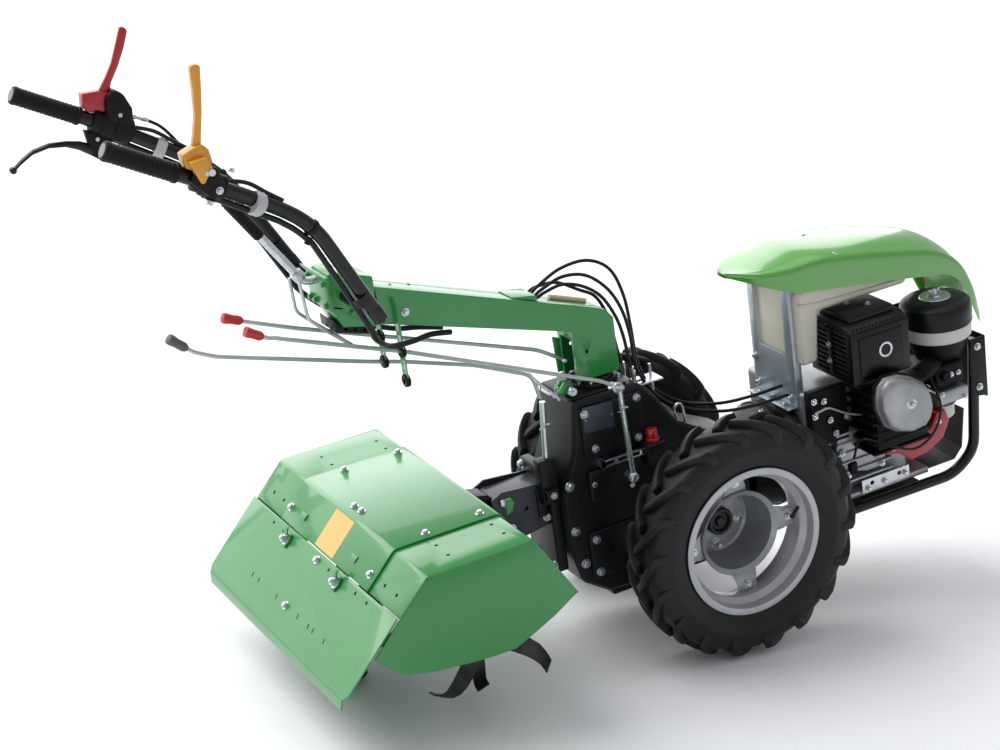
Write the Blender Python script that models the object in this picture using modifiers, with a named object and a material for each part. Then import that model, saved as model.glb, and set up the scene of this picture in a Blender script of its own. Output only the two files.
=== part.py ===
"""Walking tractor with a rotary tiller: the structure and everything that moves.

Metres. +X is forward (engine end), +Y left, +Z up, and the floor is z = 0.
The machine is drawn level, in a frame with its origin on the wheel axle, and that frame is
pitched nose up so that the wheels and the tiller's skid stand on the floor together.
"""

from math import cos, pi, radians, sin

import bmesh
import bpy
from mathutils import Matrix, Vector

# ---------------------------------------------------------------- driving dimensions
GAP = 0.0004                 # between solids that touch
PITCH = radians(8.5)         # nose up, as it parks on wheels and tiller
WHEEL_R = 0.270              # 4.00-12 agricultural tyre
TRACK = 0.532                # between the wheels' middle planes
TYRE_HALF = 0.058
RIM_R = 0.1665               # rim flange
SHIFT_X = 0.3203             # centres the whole on x = 0

TILLER_HALF = 0.377          # half the tiller's width
COVER_HALF = 0.228           # half the middle cover's width
SHEET = 0.004
ROTOR = (-0.660, 0.0185)     # x, z of the rotor's shaft
FLAP_HINGE = (-0.858, 0.1525)

SWIVEL_X = -0.178            # the column turns about this upright line
TILT = (-0.727, 0.700)       # x, z of the handlebar's cross tube
ARM_HALF = 0.0375
BAR_R = 0.0145
GRIP_R = 0.0185

# ---------------------------------------------------------------- scene and helpers
for old in list(bpy.data.objects):
    bpy.data.objects.remove(old)
PARTS = bpy.data.collections.new("walking_tractor")
CUTTERS = bpy.data.collections.new("cutters")
for folder in (PARTS, CUTTERS):
    bpy.context.scene.collection.children.link(folder)

LEVEL = bpy.data.objects.new("level_frame", None)
PARTS.objects.link(LEVEL)
LEVEL.location = (SHIFT_X, 0, WHEEL_R)
LEVEL.rotation_euler = (0, -PITCH, 0)

COLOURS = {
    "green": ((0.10, 0.42, 0.13), 0.0, 0.35),
    "hood": ((0.25, 0.62, 0.10), 0.0, 0.30),
    "black": ((0.02, 0.02, 0.02), 0.0, 0.45),
    "silver": ((0.62, 0.64, 0.66), 0.9, 0.35),
    "rim": ((0.60, 0.61, 0.63), 0.3, 0.40),
    "rubber": ((0.015, 0.015, 0.015), 0.0, 0.85),
    "red": ((0.62, 0.02, 0.03), 0.0, 0.35),
    "yellow": ((0.85, 0.55, 0.05), 0.0, 0.35),
    "cream": ((0.80, 0.77, 0.66), 0.0, 0.55),
    "grey": ((0.35, 0.36, 0.37), 0.2, 0.50),
}


def finish(obj, colour, level=True):
    """Gives the object its material and hangs it on the pitched frame."""
    rgb, metallic, roughness = COLOURS[colour]
    material = bpy.data.materials.new(f"{obj.name}_{colour}")
    material.use_nodes = True
    shader = material.node_tree.nodes["Principled BSDF"]
    shader.inputs["Base Color"].default_value = (*rgb, 1)
    shader.inputs["Metallic"].default_value = metallic
    shader.inputs["Roughness"].default_value = roughness
    obj.data.materials.clear()
    obj.data.materials.append(material)
    if level:
        obj.parent = LEVEL
    return obj


def from_bmesh(name, bm):
    bmesh.ops.recalc_face_normals(bm, faces=bm.faces)
    mesh = bpy.data.meshes.new(name)
    bm.to_mesh(mesh)
    bm.free()
    obj = bpy.data.objects.new(name, mesh)
    PARTS.objects.link(obj)
    return obj


def slab(name, outline, low, high, along="Y"):
    """An outline drawn on the other two axes, in X, Y, Z order, thick from low to high."""
    place = {
        "X": lambda a, b, t: (t, a, b),
        "Y": lambda a, b, t: (a, t, b),
        "Z": lambda a, b, t: (a, b, t),
    }[along]
    bm = bmesh.new()
    ends = [[bm.verts.new(place(a, b, t)) for a, b in outline] for t in (low, high)]
    for ring in ends:
        bm.faces.new(ring)
    count = len(outline)
    for i in range(count):
        j = (i + 1) % count
        bm.faces.new((ends[0][i], ends[0][j], ends[1][j], ends[1][i]))
    return from_bmesh(name, bm)


def block(name, x, y, z, bevel=0.0):
    obj = slab(name, [(x[0], z[0]), (x[1], z[0]), (x[1], z[1]), (x[0], z[1])], y[0], y[1])
    if bevel:
        soften(obj, bevel)
    return obj


def soften(obj, width, segments=1):
    bevel = obj.modifiers.new("soften", "BEVEL")
    bevel.width = width
    bevel.segments = segments
    bevel.limit_method = "ANGLE"
    apply(obj)


def turned(name, profile, axis, centre, steps=32, phase=0.0):
    """A closed profile of (radius, distance along the axis) turned about the axis."""
    bm = bmesh.new()
    centre = Vector(centre)
    side, up, out = {
        "X": (Vector((0, 1, 0)), Vector((0, 0, 1)), Vector((1, 0, 0))),
        "Y": (Vector((0, 0, 1)), Vector((1, 0, 0)), Vector((0, 1, 0))),
        "Z": (Vector((1, 0, 0)), Vector((0, 1, 0)), Vector((0, 0, 1))),
    }[axis]
    rings = []
    for radius, along in profile:
        if radius == 0:
            rings.append([bm.verts.new(centre + out * along)] * steps)
            continue
        ring = []
        for i in range(steps):
            angle = phase + 2 * pi * i / steps
            ring.append(bm.verts.new(
                centre + out * along + radius * (side * cos(angle) + up * sin(angle))))
        rings.append(ring)
    for a, b in zip(rings, rings[1:] + rings[:1]):
        for i in range(steps):
            j = (i + 1) % steps
            corners = list(dict.fromkeys((a[i], a[j], b[j], b[i])))
            if len(corners) > 2:
                bm.faces.new(corners)
    return from_bmesh(name, bm)


def rod(name, start, end, radius, steps=16):
    """A plain round bar between two points."""
    return tube(name, [start, end], radius, steps=steps)


def rounded(points, bend, steps=4):
    """The polyline with each inner corner replaced by an arc of about the bend radius."""
    points = [Vector(p) for p in points]
    route = [points[0]]
    for before, corner, after in zip(points, points[1:], points[2:]):
        back, ahead = (before - corner), (after - corner)
        turn = pi - back.angle(ahead)
        if turn < 0.02:
            route.append(corner)
            continue
        reach = min(bend * abs(sin(turn / 2) / cos(turn / 2)), 0.48 * back.length, 0.48 * ahead.length)
        first, last = corner + back.normalized() * reach, corner + ahead.normalized() * reach
        for i in range(steps + 1):
            t = i / steps
            route.append((1 - t) ** 2 * first + 2 * t * (1 - t) * corner + t * t * last)
    route.append(points[-1])
    return route


def tube(name, points, radius, bend=0.0, steps=12, arc=4):
    """A round bar swept along the points, closed at both ends."""
    route = rounded(points, bend, arc) if bend else [Vector(p) for p in points]
    bm = bmesh.new()
    tangent = (route[1] - route[0]).normalized()
    normal = tangent.orthogonal().normalized()
    rings = []
    for i, point in enumerate(route):
        ahead = (route[min(i + 1, len(route) - 1)] - route[max(i - 1, 0)]).normalized()
        normal = (normal - ahead * normal.dot(ahead)).normalized()
        other = ahead.cross(normal)
        rings.append([
            bm.verts.new(point + radius * (normal * cos(2 * pi * k / steps)
                                           + other * sin(2 * pi * k / steps)))
            for k in range(steps)])
    for a, b in zip(rings, rings[1:]):
        for k in range(steps):
            m = (k + 1) % steps
            bm.faces.new((a[k], a[m], b[m], b[k]))
    bm.faces.new(rings[0])
    bm.faces.new(rings[-1])
    return from_bmesh(name, bm)


def apply(obj):
    """Bakes the object's modifiers into its mesh."""
    bpy.context.view_layer.update()
    graph = bpy.context.evaluated_depsgraph_get()
    baked = bpy.data.meshes.new_from_object(obj.evaluated_get(graph))
    obj.modifiers.clear()
    obj.data = baked


def combine(obj, others, how):
    for other in others:
        boolean = obj.modifiers.new("join", "BOOLEAN")
        boolean.operation = how
        boolean.solver = "EXACT"
        boolean.object = other
        apply(obj)
        bpy.data.objects.remove(other)
    return obj


def join(obj, *others):
    return combine(obj, others, "UNION")


def cut(obj, *others):
    return combine(obj, others, "DIFFERENCE")


def placed(obj, matrix):
    obj.data.transform(matrix)
    return obj


def mirrored(points):
    return [(x, -y, z) for x, y, z in points]


# ---------------------------------------------------------------- wheels
def wheel(side, sign):
    """Tyre, rim and dish of one wheel, drawn level about the axle; the dish opens outwards."""
    centre = (SHIFT_X, sign * TRACK / 2, WHEEL_R)

    def out(y):
        return sign * y

    tyre = turned(f"{side}_tyre", [
        (0.1555, out(-0.0450)), (0.1690, out(-0.0450)), (0.2080, out(-TYRE_HALF)),
        (0.2480, out(-0.0565)), (WHEEL_R, out(-0.0400)), (WHEEL_R, out(0.0400)),
        (0.2480, out(0.0565)), (0.2080, out(TYRE_HALF)), (0.1690, out(0.0450)),
        (0.1555, out(0.0450)),
    ], "Y", centre, steps=64)
    finish(tyre, "rubber", level=False)
    rim = turned(f"{side}_rim", [
        (RIM_R, out(-0.0495)), (RIM_R, out(-0.0460)), (0.1550, out(-0.0455)),
        (0.1540, out(-0.0250)), (0.1410, out(-0.0150)), (0.1410, out(0.0120)),
        (0.1540, out(0.0220)), (0.1550, out(0.0455)), (RIM_R, out(0.0460)),
        (RIM_R, out(0.0495)), (0.1515, out(0.0495)), (0.1505, out(0.0240)),
        (0.1375, out(0.0140)), (0.1375, out(-0.0165)), (0.1505, out(-0.0270)),
        (0.1515, out(-0.0495)),
    ], "Y", centre, steps=64)
    finish(rim, "rim", level=False)
    dish = turned(f"{side}_wheel_disc", [
        (0, out(-0.113)), (0.0300, out(-0.113)), (0.0300, out(-0.1060)),
        (0.0780, out(-0.1060)), (0.1100, out(-0.0640)), (0.1050, out(-0.0610)),
        (0.0750, out(-0.1000)), (0.0330, out(-0.1000)), (0.0300, out(-0.0960)),
        (0, out(-0.0960)),
    ], "Y", centre, steps=40)
    for k in range(4):
        angle = radians(10 + 90 * k)
        arm = block("arm", (0.098, 0.1365), (-0.015, 0.015), (-0.0035, 0.0035))
        placed(arm, Matrix.Translation(Vector(centre) + Vector((0, out(-0.062), 0)))
               @ Matrix.Rotation(-angle, 4, "Y") @ Matrix.Rotation(pi / 2, 4, "X"))
        join(dish, arm)
    finish(dish, "grey", level=False)


# ---------------------------------------------------------------- transmission
def transmission():
    case = slab("gearbox", [
        (-0.325, 0.020), (-0.300, -0.085), (-0.235, -0.130), (0.050, -0.140),
        (0.125, -0.085), (0.150, -0.020), (0.150, 0.120), (0.060, 0.165),
        (-0.020, 0.215), (-0.075, 0.300), (-0.110, 0.335), (-0.270, 0.335),
        (-0.285, 0.220), (-0.325, 0.130),
    ], -0.080, 0.080)
    soften(case, 0.008)
    for sign in (-1, 1):
        join(case, turned("axle_tube", [
            (0, sign * 0.070), (0.052, sign * 0.070), (0.040, sign * 0.112),
            (0.040, sign * 0.1400), (0, sign * 0.1400)], "Y", (0, 0, 0), 24))
    join(case, block("filler_boss", (-0.125, -0.075), (-0.118, -0.070), (0.150, 0.2000), 0.004))
    finish(case, "black")
    bell = turned("bell_housing", [
        (0, 0.151), (0.085, 0.151), (0.118, 0.230), (0.118, 0.2895), (0, 0.2895),
    ], "X", (0, 0, 0.030), 28)
    finish(bell, "black")
    turret = turned("swivel_turret", [
        (0, 0.3355), (0.056, 0.3355), (0.056, 0.3500), (0.046, 0.3565), (0, 0.3565),
    ], "Z", (SWIVEL_X, 0, 0), 28)
    finish(turret, "black")
    cap = turned("filler_cap", [
        (0, 0.2005), (0.015, 0.2005), (0.015, 0.2290), (0.012, 0.2320), (0, 0.2320),
    ], "Z", (-0.100, -0.098, 0), 12)
    finish(cap, "red")
    # the two selector shafts stand on the gearbox's right side
    front = rod("side_selector", (-0.176, -0.118, 0.345), (-0.168, -0.118, 0.140), 0.0060, 10)
    join(front, turned("ball", [(0, -0.128), (0.015, -0.122), (0.015, -0.1), (0.009, -0.0805),
                                (0, -0.0805)], "Y", (-0.168, 0, 0.142), 14))
    finish(front, "silver")
    rear = rod("rear_selector", (-0.330, -0.055, 0.350), (-0.340, -0.055, 0.215), 0.0070, 10)
    foot = block("foot", (-0.365, -0.3255), (-0.070, -0.040), (0.120, 0.222))
    finish(join(rear, foot), "black")
    lock = block("swivel_lock", (-0.284, -0.246), (-0.046, -0.026), (0.336, 0.372), 0.004)
    finish(lock, "green")


# ---------------------------------------------------------------- engine
def engine():
    z0 = -0.080
    finish(block("engine_block", (0.290, 0.560), (-0.105, 0.130), (z0, 0.190), 0.012), "silver")
    head = block("cylinder_head", (0.400, 0.560), (-0.205, -0.1055), (0.030, 0.190), 0.010)
    finish(head, "black")
    cover = slab("valve_cover", [
        (0.440, 0.060), (0.540, 0.050), (0.565, 0.080), (0.565, 0.165), (0.545, 0.195),
        (0.450, 0.205), (0.425, 0.180), (0.425, 0.085)], -0.240, -0.2055)
    soften(cover, 0.006)
    finish(cover, "silver")
    muffler = slab("muffler", [
        (-0.188, 0.205), (-0.020, 0.205), (-0.020, 0.335), (-0.055, 0.362),
        (-0.150, 0.362), (-0.188, 0.335)], 0.372, 0.530, "X")
    soften(muffler, 0.006)
    finish(muffler, "black")
    shroud = turned("fan_shroud", [
        (0, 0.5605), (0.112, 0.5605), (0.120, 0.600), (0.108, 0.640), (0.070, 0.655),
        (0, 0.655)], "X", (0, 0, 0.045), 28)
    finish(shroud, "red")
    cleaner = turned("air_cleaner", [
        (0, 0.178), (0.056, 0.178), (0.078, 0.226), (0.078, 0.256), (0.082, 0.259),
        (0.082, 0.300), (0.074, 0.314), (0.028, 0.320), (0.009, 0.340), (0, 0.340),
    ], "Z", (0.664, -0.105, 0), 28)
    finish(cleaner, "black")
    intake = slab("carburettor", [
        (0.5610, 0.110), (0.640, 0.110), (0.690, 0.140), (0.690, 0.1750), (0.600, 0.1750),
        (0.5610, 0.190)], -0.165, -0.106)
    boot = block("boot", (0.600, 0.672), (-0.178, -0.128), (0.060, 0.125))
    finish(join(intake, boot), "black")
    tank = slab("fuel_tank", [
        (0.296, 0.250), (0.345, 0.250), (0.355, 0.3680), (0.600, 0.3680), (0.600, 0.400),
        (0.570, 0.432), (0.315, 0.445), (0.296, 0.420)], -0.100, 0.100)
    soften(tank, 0.010)
    finish(tank, "cream")
    base = slab("engine_base", [
        (0.291, -0.0955), (0.600, -0.0955), (0.600, -0.0805), (0.291, -0.0805)],
        -0.125, 0.125)
    finish(base, "silver")


# ---------------------------------------------------------------- hood and front guard
HOOD_SECTIONS = [  # x, side edge z, shoulder z, crown z, half width
    (0.185, 0.4760, 0.4850, 0.4860, 0.035),
    (0.235, 0.4560, 0.4860, 0.4960, 0.090),
    (0.290, 0.4350, 0.4900, 0.5060, 0.112),
    (0.350, 0.4260, 0.4940, 0.5140, 0.119),
    (0.430, 0.4150, 0.4840, 0.5080, 0.122),
    (0.560, 0.3930, 0.4570, 0.4860, 0.122),
    (0.650, 0.3760, 0.4340, 0.4620, 0.120),
    (0.700, 0.3640, 0.4100, 0.4400, 0.117),
    (0.742, 0.3240, 0.3720, 0.4030, 0.112),
    (0.774, 0.2520, 0.3130, 0.3480, 0.105),
    (0.796, 0.2140, 0.2450, 0.2780, 0.094),
]


def hood():
    """One pressed shell, open below and behind, drawn as sections from tail to nose."""
    bm = bmesh.new()
    layers = []
    for inset in (0.0, SHEET):
        rows = []
        for x, edge, shoulder, crown, half in HOOD_SECTIONS:
            forward = x - (0.5 * inset if x > 0.76 else 0)
            row = [(-1.0, edge), (-1.0, shoulder - 0.012), (-0.90, shoulder + 0.004),
                   (-0.55, (shoulder + 2 * crown) / 3), (0, crown)]
            row += [(-a, z) for a, z in reversed(row[:-1])]
            ring = []
            for k, (a, z) in enumerate(row):
                drop = 0 if k in (0, len(row) - 1) else inset
                ring.append(bm.verts.new((forward, a * (half - inset), z - drop)))
            rows.append(ring)
        layers.append(rows)
    outer, inner = layers
    last = len(HOOD_SECTIONS) - 1
    width = len(outer[0]) - 1
    for rows in layers:
        for a, b in zip(rows, rows[1:]):
            for k in range(width):
                bm.faces.new((a[k], a[k + 1], b[k + 1], b[k]))
    for i in range(last):
        for k in (0, width):
            bm.faces.new((outer[i][k], outer[i + 1][k], inner[i + 1][k], inner[i][k]))
    for k in range(width):
        bm.faces.new((outer[0][k], outer[0][k + 1], inner[0][k + 1], inner[0][k]))
        bm.faces.new((outer[last][k], outer[last][k + 1], inner[last][k + 1], inner[last][k]))
    finish(from_bmesh("hood", bm), "hood")


def front_guard():
    plate = slab("hood_bracket", [
        (-0.105, 0.1500), (0.085, 0.1500), (0.085, 0.4450), (-0.090, 0.4450), (-0.105, 0.430)],
        0.2860, 0.2900, "X")
    cut(plate, block("window", (0.20, 0.30), (-0.065, 0.060), (0.300, 0.415)))
    join(plate, block("foot", (0.262, 0.2865), (-0.105, 0.085), (0.1500, 0.1540)))
    finish(plate, "silver")
    bumper = None
    for sign in (-1, 1):
        side = [(0.310, sign * 0.140, -0.1090), (0.660, sign * 0.140, -0.1140),
                (0.722, sign * 0.140, -0.070), (0.738, sign * 0.140, 0.205)]
        loop = tube("front_bumper", side, 0.0130, 0.07, 12)
        bumper = join(bumper, loop) if bumper else loop
        if sign < 0:
            low = block("low", (0.330, 0.560), (-0.142, 0.142), (-0.1060, -0.0960))
            join(bumper, low)
    finish(bumper, "black")
    bracket = slab("bumper_bracket", [
        (0.7525, 0.060), (0.7585, 0.060), (0.7585, 0.2080), (0.7525, 0.2080)], -0.158, 0.158)
    finish(bracket, "black")
    tray = slab("belly_tray", [
        (0.603, -0.0900), (0.680, -0.0900), (0.7040, -0.065), (0.7160, 0.030), (0.7130, 0.030),
        (0.7010, -0.063), (0.678, -0.0870), (0.603, -0.0870)], -0.120, 0.120)
    finish(tray, "grey")


# ---------------------------------------------------------------- tiller
COVER_LINE = [(-0.460, 0.0690), (-0.545, 0.2175), (-0.782, 0.2175), (-0.8518, 0.1482)]


def offset_line(line, distance):
    """The open polyline moved sideways, to the left of its direction when distance is > 0."""
    result = []
    count = len(line)
    for i in range(count):
        normals = []
        for a, b in ((i - 1, i), (i, i + 1)):
            if 0 <= a and b < count:
                dx, dz = line[b][0] - line[a][0], line[b][1] - line[a][1]
                length = (dx * dx + dz * dz) ** 0.5
                normals.append((-dz / length, dx / length))
        nx = sum(n[0] for n in normals)
        nz = sum(n[1] for n in normals)
        scale = distance * len(normals) / (nx * nx + nz * nz) ** 0.5
        if len(normals) == 2:
            dot = normals[0][0] * normals[1][0] + normals[0][1] * normals[1][1]
            scale = distance / ((1 + dot) / 2) ** 0.5
            length = (nx * nx + nz * nz) ** 0.5
            nx, nz = nx / length, nz / length
            result.append((line[i][0] + nx * scale, line[i][1] + nz * scale))
        else:
            result.append((line[i][0] + nx * distance, line[i][1] + nz * distance))
    return result


def bent_sheet(name, line, thickness, y0, y1):
    """A sheet bent along the line and thick on its inner side."""
    inner = offset_line(line, thickness)
    return slab(name, line + inner[::-1], y0, y1)


SIDE_PLATE = [
    (-0.782, 0.2170), (-0.546, 0.2170), (-0.461, 0.0690), (-0.572, 0.0130),
    (-0.614, -0.0040), (-0.719, 0.0010), (-0.850, 0.0210), (-0.880, 0.0420),
    (-0.916, 0.0810), (-0.8480, 0.1505),
]


def tiller():
    middle = bent_sheet("tiller_cover", offset_line(COVER_LINE, -(SHEET + GAP)), SHEET,
                        -COVER_HALF, COVER_HALF)
    cut(middle, block("throat", (-0.60, -0.44), (-0.066, 0.066), (0.040, 0.2125)))
    finish(middle, "green")
    for side, sign in (("right", -1), ("left", 1)):
        inner, outer = sign * (COVER_HALF - 0.040), sign * TILLER_HALF
        cover = bent_sheet(f"{side}_extension", COVER_LINE, SHEET, min(inner, outer),
                           max(inner, outer))
        plate = slab("plate", SIDE_PLATE, min(outer - sign * SHEET, outer),
                     max(outer - sign * SHEET, outer))
        finish(join(cover, plate), "green")
    # gear case: drive head behind the coupling, chain leg down to the rotor
    x, z = ROTOR
    leg = slab("tiller_gear_case", [
        (-0.468, 0.075), (-0.468, 0.165), (-0.520, 0.178), (-0.600, 0.182),
        (-0.660, 0.150), (-0.735, 0.055), (-0.735, -0.020), (-0.700, -0.060),
        (-0.620, -0.060), (-0.560, 0.010)], -0.030, 0.030)
    soften(leg, 0.006)
    join(leg, block("saddle", (-0.640, -0.565), (-0.0295, 0.0295), (0.150, 0.2130)))
    finish(leg, "black")
    coupling = block("coupling_tube", (-0.4675, -0.3255), (-0.040, 0.040), (0.080, 0.160), 0.006)
    finish(coupling, "grey")
    # depth skid: a bent bar from the gear case's back down to the floor
    foot_z = (-WHEEL_R + sin(PITCH) * 0.850) / cos(PITCH)
    skid = slab("depth_skid", [
        (-0.736, 0.040), (-0.790, 0.040), (-0.815, 0.000), (-0.880, foot_z + 0.016),
        (-0.905, foot_z + 0.0285), (-0.912, foot_z + 0.022), (-0.885, foot_z + 0.0052),
        (-0.820, foot_z - 0.0045), (-0.810, foot_z + 0.004), (-0.803, -0.010),
        (-0.783, 0.028), (-0.736, 0.028)], -0.025, 0.025)
    finish(skid, "black")


def rotor_half(side, sign):
    """Half of the rotor: shaft, three flanges and four hooked tines on each flange."""
    x, z = ROTOR
    shaft = turned(f"{side}_rotor", [
        (0, sign * 0.0315), (0.0190, sign * 0.0315), (0.0190, sign * 0.3500), (0, sign * 0.3500),
    ], "Y", (x, 0, z), 12)
    for place, start, reach in ((0.090, 50, 0.055), (0.200, 75, 0.055), (0.318, 30, 0.030)):
        y = sign * place
        join(shaft, turned("flange", [
            (0, y - 0.004), (0.050, y - 0.004), (0.050, y + 0.004), (0, y + 0.004)],
            "Y", (x, 0, z), 16))
        for k in range(4):
            angle = radians(90 * k + start)
            hook = 1 if k % 2 == 0 else -1
            y0 = y + hook * sign * 0.004
            tip = y + hook * sign * (reach if hook > 0 else 0.055)
            blade = block("blade", (0.040, 0.155), sorted((y0, y0 + hook * sign * 0.006)),
                          (-0.020, 0.014))
            toe = block("toe", (0.148, 0.156), sorted((y0 + hook * sign * 0.001, tip)),
                        (-0.046, 0.006))
            join(blade, toe)
            placed(blade, Matrix.Translation((x, 0, z)) @ Matrix.Rotation(angle, 4, "Y"))
            join(shaft, blade)
    finish(shaft, "black")


def rear_flap():
    """The flap: one sheet from its hinge line down behind the side plates, with a hanging lip."""
    hx, hz = FLAP_HINGE
    slope, lip = radians(45), 0.024

    def down(distance):
        return hx - distance * sin(slope), hz - distance * cos(slope)

    foot = down(0.194)
    line = [down(0.0006), foot, (foot[0] - lip * sin(PITCH), foot[1] - lip * cos(PITCH))]
    flap = bent_sheet("rear_flap", line, SHEET, -TILLER_HALF, TILLER_HALF)
    for y in (-0.130, 0.145):
        hinge = block("hinge", (-0.010, 0.002), (y - 0.016, y + 0.016), (-0.040, -0.004))
        join(flap, placed(hinge, Matrix.Translation((hx, 0, hz)) @ Matrix.Rotation(slope, 4, "Y")))
    finish(flap, "green")


# ---------------------------------------------------------------- column and handlebar
HANGERS = [  # x, y, low and high end, and heights of the holes that the rods run through
    (-0.6485, 0.0000, 0.5080, 0.6300, (0.5790, 0.5225)),
    (-0.6265, -0.0490, 0.4680, 0.6600, (0.5530, 0.4880)),
]


def column():
    outline = [
        (-0.6600, 0.7000), (-0.1650, 0.5120), (-0.1270, 0.4900), (-0.1270, 0.3575),
        (-0.2290, 0.3575), (-0.2290, 0.4750), (-0.6550, 0.6170)]
    arm = slab("column", outline, -ARM_HALF, ARM_HALF)
    hollow = [
        (-0.6450, 0.6890), (-0.1670, 0.5080), (-0.1310, 0.4880), (-0.1310, 0.3400),
        (-0.2250, 0.3400), (-0.2250, 0.4790), (-0.6450, 0.6190)]
    cut(arm, slab("hollow", hollow, -ARM_HALF + 0.004, ARM_HALF - 0.004))
    for x, y, low, high, holes in HANGERS:
        strip = block("hanger", (x - 0.0015, x + 0.0015), (y - 0.012, y + 0.012), (low, high))
        for z in holes:
            cut(strip, turned("hole", [(0, x - 0.01), (0.0065, x - 0.01), (0.0065, x + 0.01),
                                       (0, x + 0.01)], "X", (0, y, z), 12))
        join(arm, strip)
    finish(arm, "green")
    tx, tz = TILT
    head = slab("column_head", [
        (-0.7570, 0.6800), (-0.7570, 0.7520), (-0.7450, 0.7560), (-0.6605, 0.7240),
        (-0.6605, 0.7005), (-0.6680, 0.6170), (-0.7400, 0.6350)], -0.042, 0.042)
    cut(head, turned("bore", [(0, -0.1), (0.0128, -0.1), (0.0128, 0.1), (0, 0.1)], "Y",
                     (tx, 0, tz), 24))
    finish(head, "green")
    lever = tube("height_lever", [
        (-0.7576, 0.000, 0.7370), (-0.7920, 0.000, 0.7370), (-0.9240, 0.000, 0.9450)],
        0.0085, 0.03, 12, 3)
    finish(lever, "silver")


def control_rods():
    upper = tube("reverse_rod", [
        (-0.956, 0.000, 0.705), (-0.830, 0.000, 0.650), (-0.560, 0.000, 0.545),
        (-0.300, 0.000, 0.445), (-0.2375, 0.000, 0.403)], 0.0045, 0.05, 8, 2)
    finish(upper, "silver")
    middle = tube("speed_rod", [
        (-0.933, -0.049, 0.681), (-0.905, -0.049, 0.664), (-0.872, -0.049, 0.652),
        (-0.620, -0.049, 0.550), (-0.378, -0.075, 0.446), (-0.205, -0.100, 0.372),
        (-0.176, -0.105, 0.3520)], 0.0045, 0.03, 8, 2)
    finish(middle, "silver")
    lower = tube("implement_rod", [
        (-1.075, 0.000, 0.691), (-1.045, 0.000, 0.662), (-1.004, 0.000, 0.640),
        (-0.687, 0.000, 0.534), (-0.6100, 0.000, 0.511), (-0.460, -0.030, 0.466), (-0.346, -0.055, 0.416),
        (-0.334, -0.055, 0.360)], 0.0045, 0.03, 8, 2)
    finish(lower, "silver")
    hook = tube("wire_hook", [
        (-0.812, 0.027, 0.745), (-0.810, 0.027, 0.672), (-0.770, 0.027, 0.632),
        (-0.720, 0.027, 0.586), (-0.720, -0.027, 0.586), (-0.770, -0.027, 0.632),
        (-0.806, -0.027, 0.668), (-0.812, -0.027, 0.755)], 0.0035, 0.02, 8, 3)
    finish(hook, "silver")


RIGHT_BAR = [
    (TILT[0], -0.210, TILT[1]), (-0.830, -0.240, 0.905), (-0.862, -0.245, 0.945),
    (-0.905, -0.252, 0.980), (-1.040, -0.290, 1.070), (-1.095, -0.290, 1.103),
]


def handlebar():
    tx, tz = TILT
    bars = tube("handlebar", RIGHT_BAR, BAR_R, 0.12, 14, 4)
    left = tube("left", mirrored(RIGHT_BAR), BAR_R, 0.12, 14, 4)
    cross = rod("cross", (tx, -0.214, tz), (tx, 0.214, tz), 0.0120, 24)
    join(bars, cross, left)
    finish(bars, "black")
    end = Vector((-1.222, -0.290, 1.179))
    start = Vector((-1.0965, -0.290, 1.1040))
    for side, sign in (("right", 1), ("left", -1)):
        a, b = start.copy(), end.copy()
        a.y *= sign
        b.y *= sign
        finish(rod(f"{side}_grip", a, b, GRIP_R, 16), "rubber")
    # throttle lever on the right bar, stop lever and clutch lever on the left bar
    housing = slab("throttle_base", [
        (-1.092, 1.085), (-1.070, 1.128), (-1.030, 1.108), (-1.046, 1.060)], -0.3180, -0.3055)
    finish(housing, "black")
    lever = slab("throttle_lever", [
        (-1.082, 1.130), (-1.040, 1.106), (-1.032, 1.116), (-1.036, 1.137), (-1.044, 1.147),
        (-1.032, 1.197), (-1.019, 1.280), (-1.039, 1.287), (-1.044, 1.200), (-1.062, 1.144),
        (-1.086, 1.139)], -0.3050, -0.2800)
    finish(lever, "yellow")
    base = slab("stop_base", [
        (-1.092, 1.085), (-1.070, 1.128), (-1.030, 1.108), (-1.046, 1.060)], 0.3055, 0.3180)
    finish(base, "black")
    red = slab("stop_lever", [
        (-1.082, 1.130), (-1.040, 1.106), (-1.029, 1.116), (-1.028, 1.131), (-1.019, 1.155),
        (-0.999, 1.183), (-0.964, 1.250), (-0.979, 1.261), (-1.011, 1.192), (-1.046, 1.146),
        (-1.086, 1.146)], 0.2800, 0.3050)
    finish(red, "red")
    clutch = tube("clutch_lever", [
        (-1.065, 0.290, 1.062), (-1.090, 0.290, 1.050), (-1.140, 0.290, 1.062),
        (-1.200, 0.290, 1.070), (-1.252, 0.290, 1.042)], 0.0065, 0.05, 8, 3)
    finish(clutch, "black")


# ---------------------------------------------------------------- cables
def cable(name, points, radius):
    """A cable in its casing, on a route of straight short steps."""
    curve = bpy.data.curves.new(name, "CURVE")
    curve.dimensions = "3D"
    curve.bevel_depth = radius
    curve.bevel_resolution = 2
    curve.use_fill_caps = True
    spline = curve.splines.new("POLY")
    spline.points.add(len(points) - 1)
    for point, place in zip(spline.points, points):
        point.co = (*place, 1)
    obj = bpy.data.objects.new(name, curve)
    PARTS.objects.link(obj)
    return finish(obj, "rubber")


def flowing(points, steps=3):
    """A smooth line through the hand-chosen points of a cable's route."""
    points = [Vector(p) for p in points]
    ends = [2 * points[0] - points[1], *points, 2 * points[-1] - points[-2]]
    route = []
    for a, b, c, d in zip(ends, ends[1:], ends[2:], ends[3:]):
        for i in range(steps):
            t = i / steps
            route.append(0.5 * (2 * b + t * (c - a) + t * t * (2 * a - 5 * b + 4 * c - d)
                                + t ** 3 * (3 * b - a - 3 * c + d)))
    return [*route, points[-1]]


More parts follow.
